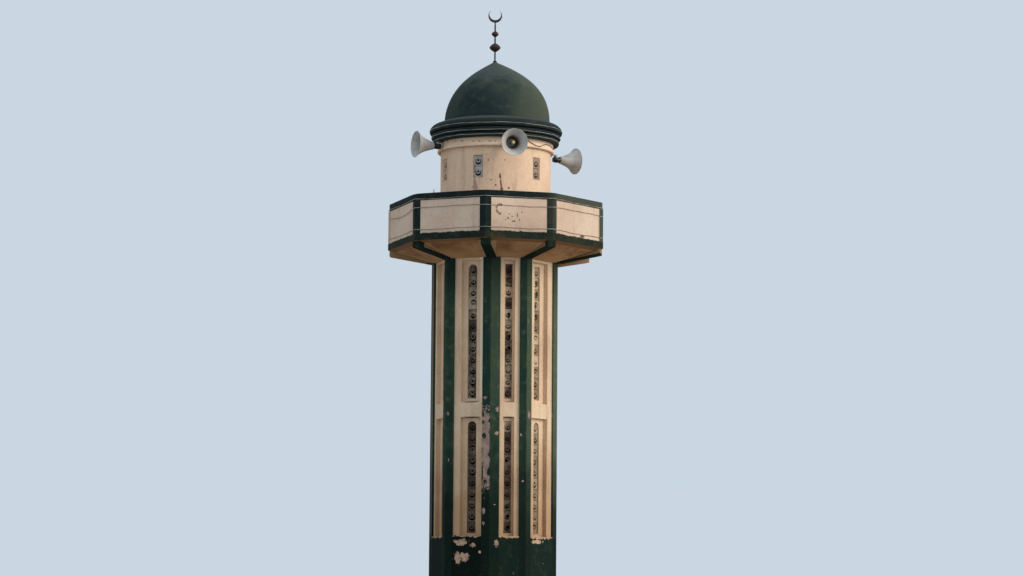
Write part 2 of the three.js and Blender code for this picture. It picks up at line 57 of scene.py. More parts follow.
sky = bpy.data.worlds.new("pale_sky")
sky.use_nodes = True
sky_light = sky.node_tree.nodes["Background"]
sky_light.inputs["Color"].default_value = (0.59, 0.68, 0.765, 1)
sky_light.inputs["Strength"].default_value = 1.0
bpy.context.scene.world = sky

key_azimuth = math.radians(68)
key_elevation = math.radians(24)
bpy.ops.object.light_add(type="SUN")
key = bpy.context.object
key.name = "key_light"
key.data.energy = 2.1
key.data.color = (1.0, 0.89, 0.74)
key.data.angle = math.radians(35)
key.rotation_euler = (math.pi / 2 - key_elevation, 0, key_azimuth)

# Floor: a plain pale disc
bpy.ops.mesh.primitive_circle_add(vertices=96, radius=90, fill_type="NGON")
floor = bpy.context.object
floor.name = "floor"
floor_paint = bpy.data.materials.new("floor_paint")
floor_paint.use_nodes = True
floor_shader = floor_paint.node_tree.nodes["Principled BSDF"]
floor_shader.inputs["Base Color"].default_value = (0.34, 0.32, 0.29, 1)
floor_shader.inputs["Roughness"].default_value = 0.95
floor.data.materials.append(floor_paint)


# Shaft walls: cement render on masonry between the corner pilasters, limewashed cream over a green
# dado. The paint is patchy, streaked by rain, scuffed off at the dado's top, and darkened under ledges
# by dirt and painted shade.
class Value:
    """A socket whose value varies over a surface. Python's operators on it add Math nodes."""

    def __init__(self, finish, socket):
        self.finish = finish
        self.socket = socket

    def __add__(self, other):
        return self.finish.maths("ADD", self, other)

    def __radd__(self, other):
        return self.finish.maths("ADD", other, self)

    def __sub__(self, other):
        return self.finish.maths("SUBTRACT", self, other)

    def __rsub__(self, other):
        return self.finish.maths("SUBTRACT", other, self)

    def __mul__(self, other):
        return self.finish.maths("MULTIPLY", self, other)

    def __rmul__(self, other):
        return self.finish.maths("MULTIPLY", other, self)


def shade(red, green, blue):
    """A colour as a screen shows it, in 0 to 255, turned into the linear one that a shader reads."""
    return tuple(((channel / 255 + 0.055) / 1.055) ** 2.4 for channel in (red, green, blue)) + (1,)


class Finish:
    """A material with its shader, and one method that adds any node before it."""

    def __init__(self, name, roughness=0.9, metallic=0.0, specular=0.3):
        self.material = bpy.data.materials.new(name)
        self.material.use_nodes = True
        self.shader = self.material.node_tree.nodes["Principled BSDF"]
        self.shader.inputs["Roughness"].default_value = roughness
        self.shader.inputs["Metallic"].default_value = metallic
        self.shader.inputs["Specular IOR Level"].default_value = specular
        self.place = self.node("ShaderNodeTexCoord", output="Object")
        self.x = self.node("ShaderNodeSeparateXYZ", values={"Vector": self.place}, output="X")
        self.y = self.node("ShaderNodeSeparateXYZ", values={"Vector": self.place}, output="Y")
        self.height = self.node("ShaderNodeSeparateXYZ", values={"Vector": self.place}, output="Z")

    def node(self, kind, settings=None, values=None, output=0):
        made = self.material.node_tree.nodes.new(kind)
        for name, setting in (settings or {}).items():
            setattr(made, name, setting)
        for name, value in (values or {}).items():
            self.feed(made, name, value)
        return Value(self, made.outputs[output])

    def feed(self, made, name, value):
        named = {socket.identifier: socket for socket in made.inputs}
        socket = named[name] if name in named else made.inputs[name]
        if isinstance(value, Value):
            self.material.node_tree.links.new(value.socket, socket)
        else:
            socket.default_value = value

    def set(self, name, value):
        self.feed(self.shader, name, value)

    def maths(self, operation, first, second):
        return self.node("ShaderNodeMath", {"operation": operation}, {0: first, 1: second})

    def vector(self, operation, first, second):
        return self.node("ShaderNodeVectorMath", {"operation": operation}, {0: first, 1: second})

    def step(self, value, low, high):
        """A smooth step from 0 to 1 as the value goes from low to high."""
        ends = {"Value": value, "From Min": low, "From Max": high}
        return self.node("ShaderNodeMapRange", {"interpolation_type": "SMOOTHSTEP"}, ends)

    def noise(self, scale, detail=4, roughness=0.55, stretch=(1, 1, 1), shift=(0, 0, 0)):
        mapping = {"Vector": self.place, "Scale": stretch, "Location": shift}
        where = self.node("ShaderNodeMapping", values=mapping)
        values = {"Vector": where, "Scale": scale, "Detail": detail, "Roughness": roughness}
        return self.node("ShaderNodeTexNoise", values=values)

    def wobble(self, size, scale, detail=4, roughness=0.55, shift=(0, 0, 0)):
        """Noise about nought, which makes an edge or a limit ragged."""
        return (self.noise(scale, detail, roughness, shift=shift) - 0.5) * size

    def mix(self, mask, first, second):
        values = {"Factor_Float": mask, "A_Color": first, "B_Color": second}
        return self.node("ShaderNodeMix", {"data_type": "RGBA"}, values, output=2)

    def azimuth(self):
        """The angle round the tower's axis, in degrees from the front towards the right."""
        angle = self.maths("ARCTAN2", self.x, 0 - self.y)
        return angle * math.degrees(1)

    def length(self, value):
        return self.node("ShaderNodeVectorMath", {"operation": "LENGTH"}, {0: value}, output="Value")

    def scaled_from(self, middle, half_sizes):
        return self.vector("DIVIDE", self.vector("SUBTRACT", self.place, middle), half_sizes)

    def nearest_of(self, distances):
        nearest = distances[0]
        for distance in distances[1:]:
            nearest = self.maths("MINIMUM", nearest, distance)
        return nearest

    def patches(self, places, depth=0.2, ragged=0.45, grain=9):
        """Ragged patches, each given as its middle, half width and half height: 1 inside, 0 outside."""
        nearest = self.nearest_of([
            self.length(self.scaled_from((x, y, level), (half_width, depth, half_height)))
            for x, y, level, half_width, half_height in places
        ])
        return self.step(nearest + self.wobble(2.6 * ragged, grain, 5, 0.68), 1.06, 0.94)

    def either(self, masks):
        joined_masks = masks[0]
        for mask in masks[1:]:
            joined_masks = self.maths("MAXIMUM", joined_masks, mask)
        return joined_masks

    def size_of(self, value):
        return self.node("ShaderNodeMath", {"operation": "ABSOLUTE"}, {0: value})

    def bump(self, height, depth, strength=0.8):
        values = {"Height": height, "Distance": depth, "Strength": strength}
        self.set("Normal", self.node("ShaderNodeBump", values=values))


def green_coat(finish, tint=(1, 1, 1)):
    """Bottle-green limewash: mottled, faded towards olive, streaked by rain."""
    mossy = finish.step(finish.noise(1.6, 5, 0.6), 0.4, 0.68)
    deep = finish.mix(mossy, shade(28, 51, 46), shade(42, 60, 46))
    faded = finish.mix(finish.step(finish.noise(7, 6, 0.65), 0.5, 0.8), deep, shade(78, 84, 64))
    rain = finish.noise(5, 4, 0.6, stretch=(1, 1, 0.12), shift=(3, 1, 0))
    coat = finish.mix(finish.step(rain, 0.53, 0.76) * 0.6, faded, shade(20, 31, 28))
    return finish.vector("MULTIPLY", coat, tint)


def cream_coat(finish, tint=(1, 1, 1)):
    """Cream limewash over cement render: patchy, with rain streaks and brown dust."""
    patchy = finish.step(finish.noise(0.9, 5, 0.6), 0.35, 0.7)
    base = finish.mix(patchy, shade(230, 203, 172), shade(214, 183, 154))
    fine = finish.step(finish.noise(14, 6, 0.7), 0.45, 0.75)
    dusty = finish.mix(fine * 0.4, base, shade(184, 152, 124))
    rain = finish.noise(6, 5, 0.65, stretch=(1, 1, 0.08), shift=(5, 2, 0))
    coat = finish.mix(finish.step(rain, 0.55, 0.74) * 0.45, dusty, shade(146, 118, 94))
    return finish.vector("MULTIPLY", coat, tint)


dado_top = 2.640


def wall_finish():
    """Cream over a green dado, with the paint knocked off along the edge between them."""
    paint = Finish("wall_paint", roughness=0.92, specular=0.12)
    # Darker and browner towards the ground.
    low_darkening = paint.step(paint.height + paint.wobble(2.5, 2, 4), 5.2, 2.8)
    cream = paint.mix(low_darkening * 0.75, cream_coat(paint), shade(168, 132, 98))
    dado_green = green_coat(paint, tint=(0.42, 0.48, 0.47))
    # Painted shade: the dado is darkened on the left faces, which are turned away from the light.
    shaded_left_dado = paint.step(paint.azimuth(), -3, -5) * paint.step(paint.azimuth(), -150, -110)
    green = paint.mix(shaded_left_dado * 0.7, dado_green, shade(5, 14, 11))
    bare = paint.mix(
        paint.step(paint.noise(11, 5, 0.7), 0.4, 0.65), shade(196, 164, 138), shade(150, 126, 108),
    )
    edge_wobble = paint.wobble(0.22, 7, 6, 0.7)
    above_dado = paint.step(paint.height + edge_wobble, dado_top - 0.028, dado_top - 0.008)
    flakes = paint.step(paint.noise(5.5, 7, 0.72, shift=(1, 4, 2)), 0.66, 0.685)
    lower = paint.step(paint.height, 3.3, 2.3)
    knocked_off = paint.patches([
        (-0.609, -1.014, 2.524, 0.13, 0.06), (-0.385, -1.121, 2.464, 0.05, 0.04),
        (-0.68, -0.985, 2.215, 0.075, 0.10), (-0.56, -1.04, 2.235, 0.09, 0.075),
        (0.879, -0.746, 2.536, 0.16, 0.04), (0.298, -1.181, 2.705, 0.13, 0.05),
        (-0.25, -1.17, 2.33, 0.03, 0.03),
    ], ragged=1.3, grain=13)
    flaked_ledge = paint.patches([(0.914, -0.693, 2.640, 0.30, 0.045)], depth=0.4, ragged=1.3, grain=13)
    chipped = paint.either([flakes * lower, knocked_off, flaked_ledge])
    # Dark lines along the recesses' ledges: painted shade, with dirt on the sill.
    ledge_dirt_and_shade = paint.patches([
        (-0.473, -1.079, 5.266, 0.20, 0.017), (0.300, -1.184, 5.266, 0.115, 0.010),
        (-0.473, -1.079, 4.962, 0.20, 0.014), (0.300, -1.184, 4.962, 0.115, 0.014),
    ], ragged=0.1)
    shaded_ledge = paint.mix(ledge_dirt_and_shade * 0.8, cream, shade(84, 66, 52))
    angle = paint.azimuth()
    # Painted light: a strip high up on the front left face, beside the front pilaster, is lightened.
    painted_light_strip = paint.step(angle, -15.5, -14.5) * paint.step(angle, -3.5, -4.5)
    high_up = paint.step(paint.height, 5.2, 5.4)
    with_painted_light = paint.mix(painted_light_strip * high_up * 0.6, shaded_ledge, shade(252, 238, 212))
    coats = paint.mix(above_dado, green, with_painted_light)
    paint.set("Base Color", paint.mix(chipped * (1 - above_dado * 0.4), coats, bare))
    paint.set("Roughness", 0.8 + 0.18 * paint.noise(9, 3))
    relief = paint.noise(26, 7, 0.7) * 0.35 + paint.noise(3, 4) * 0.8 - chipped * 0.5
    paint.bump(relief, 0.012)
    return paint


wall_paint = wall_finish()


def softened(node, width):
    """Rounds the edges of one of the frame's own pieces, whose mesh is loose triangles."""
    weld = node.modifiers.new("weld", "WELD")
    weld.merge_threshold = 0.00005
    bevel = node.modifiers.new("bevel", "BEVEL")
    bevel.width = width
    bevel.segments = 2
    bevel.limit_method = "ANGLE"
    bevel.angle_limit = math.radians(30)


def painted(name, finish, edge=0.004):
    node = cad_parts[name]
    node.data.materials.clear()
    node.data.materials.append(finish.material)
    softened(node, edge)


def pairs_round(corners):
    return [(Vector(corners[i]), Vector(corners[(i + 1) % len(corners)])) for i in range(len(corners))]


class Side:
    """One side of an octagon on plan: its middle, the way along it and the way out of it."""

    def __init__(self, start, end):
        self.middle = (start + end) / 2
        self.along = (end - start).normalized()
        self.out = Vector((self.along.y, -self.along.x))
        self.half = (end - start).length / 2

    def point(self, along, out, level):
        spot = self.middle + self.along * along + self.out * out
        return Vector((spot.x, spot.y, level))

    def place(self, along, out):
        """The matrix that puts a piece, drawn along X and facing -Y, on this side."""
        turn = Matrix.Rotation(math.atan2(self.along.y, self.along.x), 4, "Z")
        return Matrix.Translation(self.point(along, out, 0)) @ turn


shaft_corners = [
    (-1.268, 0.110), (-0.943, -0.855), (-0.071, -1.271), (0.642, -1.098),
    (1.262, -0.176), (1.130, 0.585), (0.071, 1.271), (-0.660, 1.088),
]
shaft_sides = [Side(start, end) for start, end in pairs_round(shaft_corners)]
for number in range(1, 9):
    painted(f"wall_{number}", wall_paint, edge=0.003)
painted("wall_6_upper", wall_paint, edge=0.003)

# Corner pilasters: cast concrete posts with a rib on top that carries the gallery's corner,
# limewashed green. Rain and knocks have flaked the paint, most of all on the front one.
def pilaster_finish():
    """Green: bleached on the sunny side, with painted shade on the left faces and under the gallery, grime
    and painted shade low down, and peeled most on the front one.
    """
    paint = Finish("pilaster_paint", roughness=0.85, specular=0.1)
    angle = paint.azimuth() + paint.wobble(2, 6, 4)
    arris_passed = paint.step(angle, -3.8, -2.8)
    shaded_left = paint.step(angle, 8, 18) * paint.step(angle, 175, 140)
    off_back = paint.step(angle, 165, 125)
    far_right = paint.step(angle, 29.6, 31) * off_back
    last_right = paint.step(angle, 60, 72) * off_back
    first_face = paint.step(paint.azimuth(), -88.0, -88.6)
    first_left = first_face * paint.step(paint.azimuth(), -93.6, -93.0)
    upper = paint.step(paint.height, 4.6, 5.6) * paint.step(paint.height, 8.11, 8.08)
    above_reach = paint.step(paint.height, 2.55, 2.75)
    below_rib = paint.step(paint.height, 8.12, 8.08)
    front_bleach = arris_passed * (1 - shaded_left) * upper * 0.11
    bleached = front_bleach + (far_right * 0.19 + last_right * 0.18) * below_rib * above_reach
    worn_green = paint.mix(bleached, green_coat(paint, tint=(1.26, 1.22, 1.14)), shade(128, 132, 104))
    # Painted shade: darker on the left faces and under the gallery.
    shade_under_gallery = paint.step(paint.height, 7.0, 7.9) * 0.45
    in_shade = paint.either([shaded_left * (1 - far_right) * 0.3, shade_under_gallery])
    shaded_green = paint.mix(in_shade, worn_green, shade(9, 24, 24))
    # Darker towards the ground: grime, and painted shade where less light comes from below.
    low_grime_and_shade = paint.step(paint.height + paint.wobble(2, 2, 4), 5.0, 2.8)
    first_grey = paint.mix(paint.step(paint.height, 5.2, 3.6), shade(128, 112, 96), shade(96, 86, 82))
    low_darkened_green = paint.mix(low_grime_and_shade * 0.86, shaded_green, shade(9, 22, 18))
    pilaster_green = paint.mix(first_left * below_rib * above_reach * 0.75, low_darkened_green, first_grey)
    plaster = paint.mix(
        paint.step(paint.noise(9, 6, 0.7), 0.35, 0.7), shade(178, 150, 138), shade(138, 112, 100),
    )
    peel_grain = paint.noise(6.5, 7, 0.72, stretch=(1, 1, 0.55), shift=(2, 0, 1))
    scattered = paint.step(peel_grain, 0.725, 0.745) * paint.step(paint.height, 6.2, 4.2)

    peel_middle = (-0.150, 4.375)
    peel_half = (0.082, 0.80)
    peel_across = paint.size_of(paint.x - peel_middle[0])
    peel_up = paint.size_of(paint.height - peel_middle[1])
    peel_reach = paint.maths("MAXIMUM", peel_across * (1 / peel_half[0]), peel_up * (1 / peel_half[1]))
    peel_tatters = paint.wobble(1.4, 5, 4, 0.6, shift=(0, 1, 2)) + paint.wobble(1.6, 24, 5, 0.7)
    peel_end = paint.step(paint.height + paint.wobble(0.1, 26, 4), 5.20, 5.18)
    peel_facing = (1 - arris_passed) * paint.step(paint.y, -1.0, -1.1) * peel_end
    still_green = paint.patches([
        (-0.185, -1.215, 4.60, 0.038, 0.06), (-0.078, -1.268, 4.88, 0.026, 0.04),
        (-0.075, -1.268, 4.22, 0.026, 0.06), (-0.095, -1.260, 3.88, 0.034, 0.07),
        (-0.222, -1.198, 3.86, 0.022, 0.18), (-0.215, -1.200, 5.02, 0.024, 0.07),
        (-0.200, -1.208, 4.86, 0.022, 0.035),
    ], ragged=0.9, grain=20)
    front_peel = paint.step(peel_reach + peel_tatters, 1.04, 0.96) * peel_facing * (1 - still_green)
    small_chips = paint.patches([
        (-0.172, -1.223, 5.338, 0.034, 0.030), (0.074, -1.236, 5.108, 0.034, 0.045),
        (0.062, -1.240, 4.644, 0.034, 0.040), (0.031, -1.246, 3.250, 0.018, 0.008),
        (-0.182, -1.218, 3.123, 0.028, 0.055), (-0.182, -1.218, 2.889, 0.026, 0.035),
        (0.074, -1.236, 2.505, 0.045, 0.060), (-0.898, -0.876, 5.041, 0.018, 0.030),
        (-0.881, -0.885, 4.136, 0.012, 0.035), (0.693, -1.023, 5.024, 0.020, 0.08),
        (0.538, -1.123, 4.624, 0.018, 0.025), (0.575, -1.114, 3.716, 0.020, 0.016),
        (1.148, -0.346, 5.059, 0.024, 0.07),
    ], ragged=1.3, grain=34)
    peeled = paint.either([scattered, front_peel, small_chips])
    rib_run = paint.length(paint.vector("MULTIPLY", paint.place, (1, 1, 0)))
    rib_underside = 8.096 + 0.195 * (rib_run - 1.27)
    off_underside = paint.height - rib_underside
    green_nose = paint.step(rib_run, 2.02, 1.98)
    rib_cream = paint.step(off_underside, 0.028, 0.036) * paint.either([green_nose, last_right])
    first_side = paint.step(angle, -78, -82)
    last_side = paint.step(angle, 96, 100)
    side_cream = paint.either([first_side, last_side]) * paint.step(paint.height, 8.118, 8.124)
    rib_side = paint.either([rib_cream, side_cream])
    rib_shade = paint.step(paint.height, 8.09, 8.12) * 0.5
    rib_green = paint.mix(rib_shade, pilaster_green, shade(5, 20, 18))
    front_half = paint.step(paint.size_of(angle), 142, 134)
    coated = paint.mix(rib_side * front_half * 0.9, rib_green, shade(156, 124, 90))
    paint.set("Base Color", paint.mix(peeled, coated, plaster))
    paint.set("Roughness", 0.72 + 0.25 * paint.noise(8, 3))
    relief = paint.noise(24, 7, 0.7) * 0.3 + paint.noise(2.5, 4) * 0.9 - peeled * 0.45
    paint.bump(relief, 0.012)
    return paint


pilaster_paint = pilaster_finish()
for number in range(1, 9):
    painted(f"pilaster_{number}", pilaster_paint, edge=0.008)


# Slot screens: pierced blocks cast in cement and stacked in mortar in each slot, each with a crescent
# that opens upwards and a round hole over it. They are grey-brown, dirty and chipped.
def select_only(piece):
    bpy.ops.object.select_all(action="DESELECT")
    piece.select_set(True)
    bpy.context.view_layer.objects.active = piece


def settled(piece, name):
    """Puts a finished piece's place, turn and size into its mesh, and names it."""
    select_only(piece)
    bpy.ops.object.transform_apply(location=True, rotation=True, scale=True)
    piece.name = name
    return piece


def box(name, centre, size):
    bpy.ops.mesh.primitive_cube_add(size=1, location=centre, scale=size)
    return settled(bpy.context.object, name)


def drilled(piece, cutter):
    cut = piece.modifiers.new("cut", "BOOLEAN")
    cut.operation = "DIFFERENCE"
    cut.object = cutter
    cut.solver = "EXACT"
    select_only(piece)
    bpy.ops.object.modifier_apply(modifier=cut.name)
    bpy.data.objects.remove(cutter)


def drum_shape(name, centre, radius, depth, sides=24):
    """A short cylinder that lies along Y."""
    bpy.ops.mesh.primitive_cylinder_add(
        vertices=sides, radius=radius, depth=depth, location=centre, rotation=(math.pi / 2, 0, 0),
    )
    return settled(bpy.context.object, name)


def pierced_block(name, width, height, depth, moon_share=0.32, with_eye=True, broken=False):
    """A block with a crescent and a round hole pierced through it, its back left at y 0."""
    block = box(name, (0, -depth / 2, height / 2), (width - 0.004, depth, height - 0.006))
    moon_radius = moon_share * width
    moon_level = 0.42 * height
    moon = drum_shape("moon", (0, 0, moon_level), moon_radius, 3 * depth)
    bite = drum_shape("bite", (0, 0, moon_level + 0.34 * moon_radius), 0.74 * moon_radius, 4 * depth)
    drilled(moon, bite)
    drilled(block, moon)
    if with_eye:
        eye = drum_shape("eye", (0, 0, moon_level + 0.42 * moon_radius), 0.36 * moon_radius, 3 * depth, 10)
        drilled(block, eye)
    if broken:
        gap_middle = (0.1 * width, 0, moon_level + 0.5 * moon_radius)
        drilled(block, drum_shape("gap", gap_middle, 0.8 * moon_radius, 3 * depth, 7))
    edge = block.modifiers.new("edge", "BEVEL")
    edge.width = 0.003
    edge.limit_method = "ANGLE"
    edge.angle_limit = math.radians(50)
    select_only(block)
    bpy.ops.object.modifier_apply(modifier=edge.name)
    return block


def block_finish():
    """Grey-brown cement, dirty and of uneven tone, with painted sunlight on the sunny side."""
    paint = Finish("screen_block", roughness=0.95)
    tone = paint.node("ShaderNodeAttribute", {"attribute_name": "tone"}, output="Fac")
    mottle = paint.wobble(1.3, 7, 6, 0.7) + paint.wobble(1.5, 26, 4, 0.7)
    paleness = paint.step(tone + mottle, 0.0, 1.0)
    grey = paint.mix(paleness, shade(66, 55, 48), shade(196, 178, 156))
    dirt = paint.step(paint.noise(3.1, 5, 0.65, shift=(0, 0, 3)), 0.46, 0.66)
    low = paint.step(paint.height, 5.0, 4.6)
    grimy = paint.mix(dirt * 0.85, grey, shade(48, 39, 34))
    left = paint.step(paint.x, 0.75, 0.7)
    dark = paint.mix(low * (0.35 + 0.3 * left), grimy, shade(72, 54, 45))
    # Painted sunlight: the blocks in the slots on the sunny right-hand face are lightened.
    painted_sunlight = paint.step(paint.x, 0.7, 0.8) * paint.step(paint.y, -0.2, -0.3)
    paint.set("Base Color", paint.mix(painted_sunlight * 0.3, dark, shade(206, 178, 142)))
    paint.bump(paint.noise(45, 6, 0.75), 0.006)
    return paint


block_paint = block_finish()

block_depth = 0.06
screen_setback = 0.150

# Each storey's slots: their foot, their head and how many blocks fill one
upper_slot = (5.333, 7.990, 12)
lower_slot = (2.700, 4.889, 10)
slot_widths = [0.190, 0.190, 0.148, 0.190, 0.140, 0.190, 0.140, 0.190]
slot_shifts = {
    "upper": [0, 0.023, 0.024, -0.015, 0, 0, 0, 0],
    "lower": [0, 0.032, 0.024, -0.015, 0, 0, 0, 0],
}

# Slots with flat heads. The others are arched.
flat_heads = [("upper", 3), ("upper", 4), ("lower", 3)]


def arched_outline(width, bottom, top, steps=10):
    half = width / 2
    points = [(-half, bottom), (half, bottom)]
    for step in range(steps + 1):
        angle = math.pi * step / steps
        points.append((half * math.cos(angle), top - half + half * math.sin(angle)))
    return points


def drawn(name, points):
    """Draws straight edges from point to point, and leaves them selected in edit mode."""
    bpy.ops.mesh.primitive_plane_add(size=0.01)
    piece = bpy.context.object
    piece.name = name
    bpy.ops.object.mode_set(mode="EDIT")
    bpy.ops.mesh.merge(type="CENTER")
    bpy.ops.transform.translate(value=points[0])
    for here, there in zip(points, points[1:]):
        bpy.ops.mesh.extrude_vertices_move(TRANSFORM_OT_translate={"value": there - here})
    bpy.ops.mesh.select_all(action="SELECT")
    return piece


def extruded(name, outline, front, back):
    """A solid drawn as an outline of (x, z) points and extruded along Y."""
    piece = drawn(name, [Vector((x, front, z)) for x, z in outline])
    bpy.ops.mesh.edge_face_add()
    bpy.ops.mesh.extrude_region_move(TRANSFORM_OT_translate={"value": (0, back - front, 0)})
    bpy.ops.mesh.select_all(action="SELECT")
    bpy.ops.mesh.normals_make_consistent(inside=False)
    bpy.ops.object.mode_set(mode="OBJECT")
    return piece


def copied(piece, name, matrix):
    double = piece.copy()
    double.data = piece.data.copy()
    double.name = name
    double.data.transform(matrix)
    bpy.context.scene.collection.objects.link(double)
    return double


def joined(pieces, name):
    bpy.ops.object.select_all(action="DESELECT")
    for piece in pieces:
        piece.select_set(True)
    bpy.context.view_layer.objects.active = pieces[0]
    bpy.ops.object.join()
    pieces[0].name = name
    return pieces[0]


def finished(piece, finish, slot, *nodes):
    piece.data.materials.clear()
    piece.data.materials.append(finish.material)
    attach(piece, "root")
    if nodes:
        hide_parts(*nodes)
    return piece


def toned(piece, tone):
    """Gives all faces of a block one tone, from 0, dark and dirty, to 1, pale."""
    layer = piece.data.attributes.new("tone", "FLOAT", "FACE")
    for face in layer.data:
        face.value = tone
    return piece


def screen(width, bottom, top, count, lay, pale_rows, arched):
    """One slot's stack of blocks, the topmost cut to the head of the slot where that is arched."""
    height = (top - bottom) / count
    masters = [
        pierced_block("whole", width, height, block_depth),
        pierced_block("wide", width, height, block_depth, moon_share=0.37),
        pierced_block("chipped", width, height, block_depth, broken=True),
        pierced_block("blind", width, height, block_depth, moon_share=0.27, with_eye=False),
    ]
    stack = []
    for row in range(count):
        master = lay.choices(masters, weights=(5, 3, 3, 1))[0]
        middle = Vector((0, 0, bottom + (row + 0.5) * height))
        upside_down = lay.random() < 0.15 and row < count - 1
        turn = Matrix.Rotation(math.pi if upside_down else lay.uniform(-0.015, 0.015), 4, "Y")
        push = Matrix.Translation((0, lay.uniform(-0.008, 0.008), 0))
        where = Matrix.Translation(middle) @ turn @ push @ Matrix.Translation((0, 0, -height / 2))
        tone = 0.95 if row in pale_rows else lay.choice((0.1, 0.25, 0.3, 0.4, 0.6))
        stack.append(toned(copied(master, f"block_{row}", where), tone))
    for master in masters:
        bpy.data.objects.remove(master)
    if not arched:
        return joined(stack, "screen")
    head = extruded("head", arched_outline(width - 0.002, bottom, top - 0.001), -1, 1)
    cap = stack[-1].modifiers.new("cap", "BOOLEAN")
    cap.operation = "INTERSECT"
    cap.object = head
    select_only(stack[-1])
    bpy.ops.object.modifier_apply(modifier=cap.name)
    bpy.data.objects.remove(head)
    return joined(stack, "screen")


# The rows of paler blocks, counted from 0 at the foot. A screen not named here has one, in row 4.
pale_rows = {
    ("upper", 2): (8,), ("lower", 2): (), ("upper", 3): (7, 9), ("lower", 3): (9,),
    ("upper", 4): (3, 5, 8, 10),
}
for number, side in enumerate(shaft_sides, start=1):
    for storey, slot in (("upper", upper_slot), ("lower", lower_slot)):
        lay = random.Random(f"{storey} {number}")
        arched = (storey, number) not in flat_heads
        pale = pale_rows.get((storey, number), (4,))
        stack = screen(slot_widths[number - 1], *slot, lay, pale, arched)
        shift = slot_shifts[storey][number - 1]
        stack.data.transform(side.place(shift, -screen_setback - block_depth))
        stack.name = f"{storey}_screen_{number}"
        finished(stack, block_paint, "deck_concrete")

# Base door: a leaf of sheet steel with a border, fixed shut at the back of the tower. It has a middle
# rail, three hinges and a pull handle, all welded on and painted with it.
def door_finish():
    """Worn green paint on steel."""
    paint = Finish("door_paint", roughness=0.55, metallic=0.0, specular=0.5)
    wear = paint.step(paint.noise(9, 6, 0.7), 0.62, 0.7)
    green = paint.mix(paint.step(paint.noise(2.2, 4), 0.4, 0.7), shade(58, 82, 74), shade(78, 96, 84))
    paint.set("Base Color", paint.mix(wear, green, shade(104, 66, 44)))
    paint.set("Roughness", 0.45 + 0.45 * paint.noise(6, 4))
    paint.bump(paint.noise(18, 5, 0.6) - 0.6 * wear, 0.003)
    return paint


door_paint = door_finish()
painted("base_door", door_paint, edge=0.003)


def door_fittings(name, place, width, front, bottom, top):
    """A leaf's rail, hinges and handle. The leaf's front faces -Y, before it is put in its place."""
    middle = (bottom + top) / 2
    edge = width / 2
    grip_line = edge - 0.045
    border = 0.062
    fittings = [
        box("rail", (0, front + 0.007, middle), (width - 2 * border, 0.012, 0.060)),
        box("grip", (grip_line, front - 0.034, middle + 0.05), (0.014, 0.012, 0.170)),
        box("lock_plate", (grip_line, front - 0.001, middle - 0.10), (0.040, 0.004, 0.110)),
    ]
    for rise in (-0.025, 0.125):
        fittings.append(box("stub", (grip_line, front - 0.016, middle + rise), (0.012, 0.036, 0.012)))
    for share in (0.12, 0.5, 0.88):
        knuckle = (0.016 - edge, front - 0.006, bottom + share * (top - bottom))
        bpy.ops.mesh.primitive_cylinder_add(vertices=16, radius=0.010, depth=0.090, location=knuckle)
        fittings.append(settled(bpy.context.object, "hinge"))
    welded = joined(fittings, name)
    welded.data.transform(place)
    return finished(welded, door_paint, "door_steel")


base_door_place = shaft_sides[7].place(0, 0)
base_door_width = 0.680
base_door_front = 0.060
base_door_ends = (0.002, 1.950)
door_fittings("base_door_fittings", base_door_place, base_door_width, base_door_front, *base_door_ends)

# Gallery: a concrete deck cast on the pilasters' ribs, which slopes down underneath to the shaft. It
# has a green edge beam and carries green corner posts, rendered cream panels between them and a
# green coping.
def soffit_finish():
    """Cream-brown with stains underneath, darkened as painted shade, and walked-on cement on top."""
    paint = Finish("soffit_paint", roughness=0.95)
    # Painted shade: the browns underneath are darkened for the deep shade under the deck, with stains on
    # top of it.
    patchy = paint.step(paint.noise(1.1, 6, 0.62), 0.36, 0.68)
    base = paint.mix(patchy, shade(188, 142, 98), shade(156, 110, 71))
    stain = paint.step(paint.noise(2.3, 6, 0.7, shift=(4, 0, 0)), 0.46, 0.66)
    brown = paint.mix(stain * 0.55, base, shade(106, 70, 44))
    near_shaft = paint.step(paint.height + paint.wobble(0.08, 3, 5), 8.26, 8.13)
    tan = paint.mix(near_shaft * 0.5, brown, shade(196, 156, 112))
    rib_azimuths = [-94, -47.2, -4.4, 31.6, 80.4, 117.5, 176.5, 213]
    off_rib = paint.nearest_of([paint.size_of(paint.azimuth() - rib) for rib in rib_azimuths])
    beside_rib = paint.step(off_rib + paint.wobble(2, 8, 4), 5.6, 4.4)
    striped = paint.mix(beside_rib * 0.6, tan, shade(206, 176, 140))
    walked_grey = paint.mix(patchy, shade(150, 142, 130), shade(118, 110, 100))
    walked_dirt = paint.step(paint.noise(5, 6, 0.7, shift=(0, 2, 0)), 0.5, 0.72)
    walked = paint.mix(walked_dirt * 0.6, walked_grey, shade(88, 80, 72))
    on_top = paint.step(paint.height, 8.505, 8.513)
    paint.set("Base Color", paint.mix(on_top, striped, walked))
    paint.bump(paint.noise(20, 6, 0.7), 0.008)
    return paint


soffit_paint = soffit_finish()
painted("gallery_deck", soffit_paint)

beam_bottom = 8.390
gallery_tint = (0.50, 0.42, 0.54)
beam_tint = (0.92, 0.60, 0.56)


def beam_finish():
    """Green on its face, and brown underneath like the soffit, darkened as painted shade."""
    paint = Finish("beam_paint", roughness=0.85, specular=0.15)
    face = paint.step(paint.height, beam_bottom - 0.003, beam_bottom + 0.001)
    green = green_coat(paint, beam_tint)
    # Painted shade: the underside takes the soffit's dark brown.
    paint.set("Base Color", paint.mix(face, shade(140, 100, 66), green))
    paint.bump(paint.noise(22, 7, 0.7) * 0.4 + paint.noise(3, 4), 0.008)
    return paint


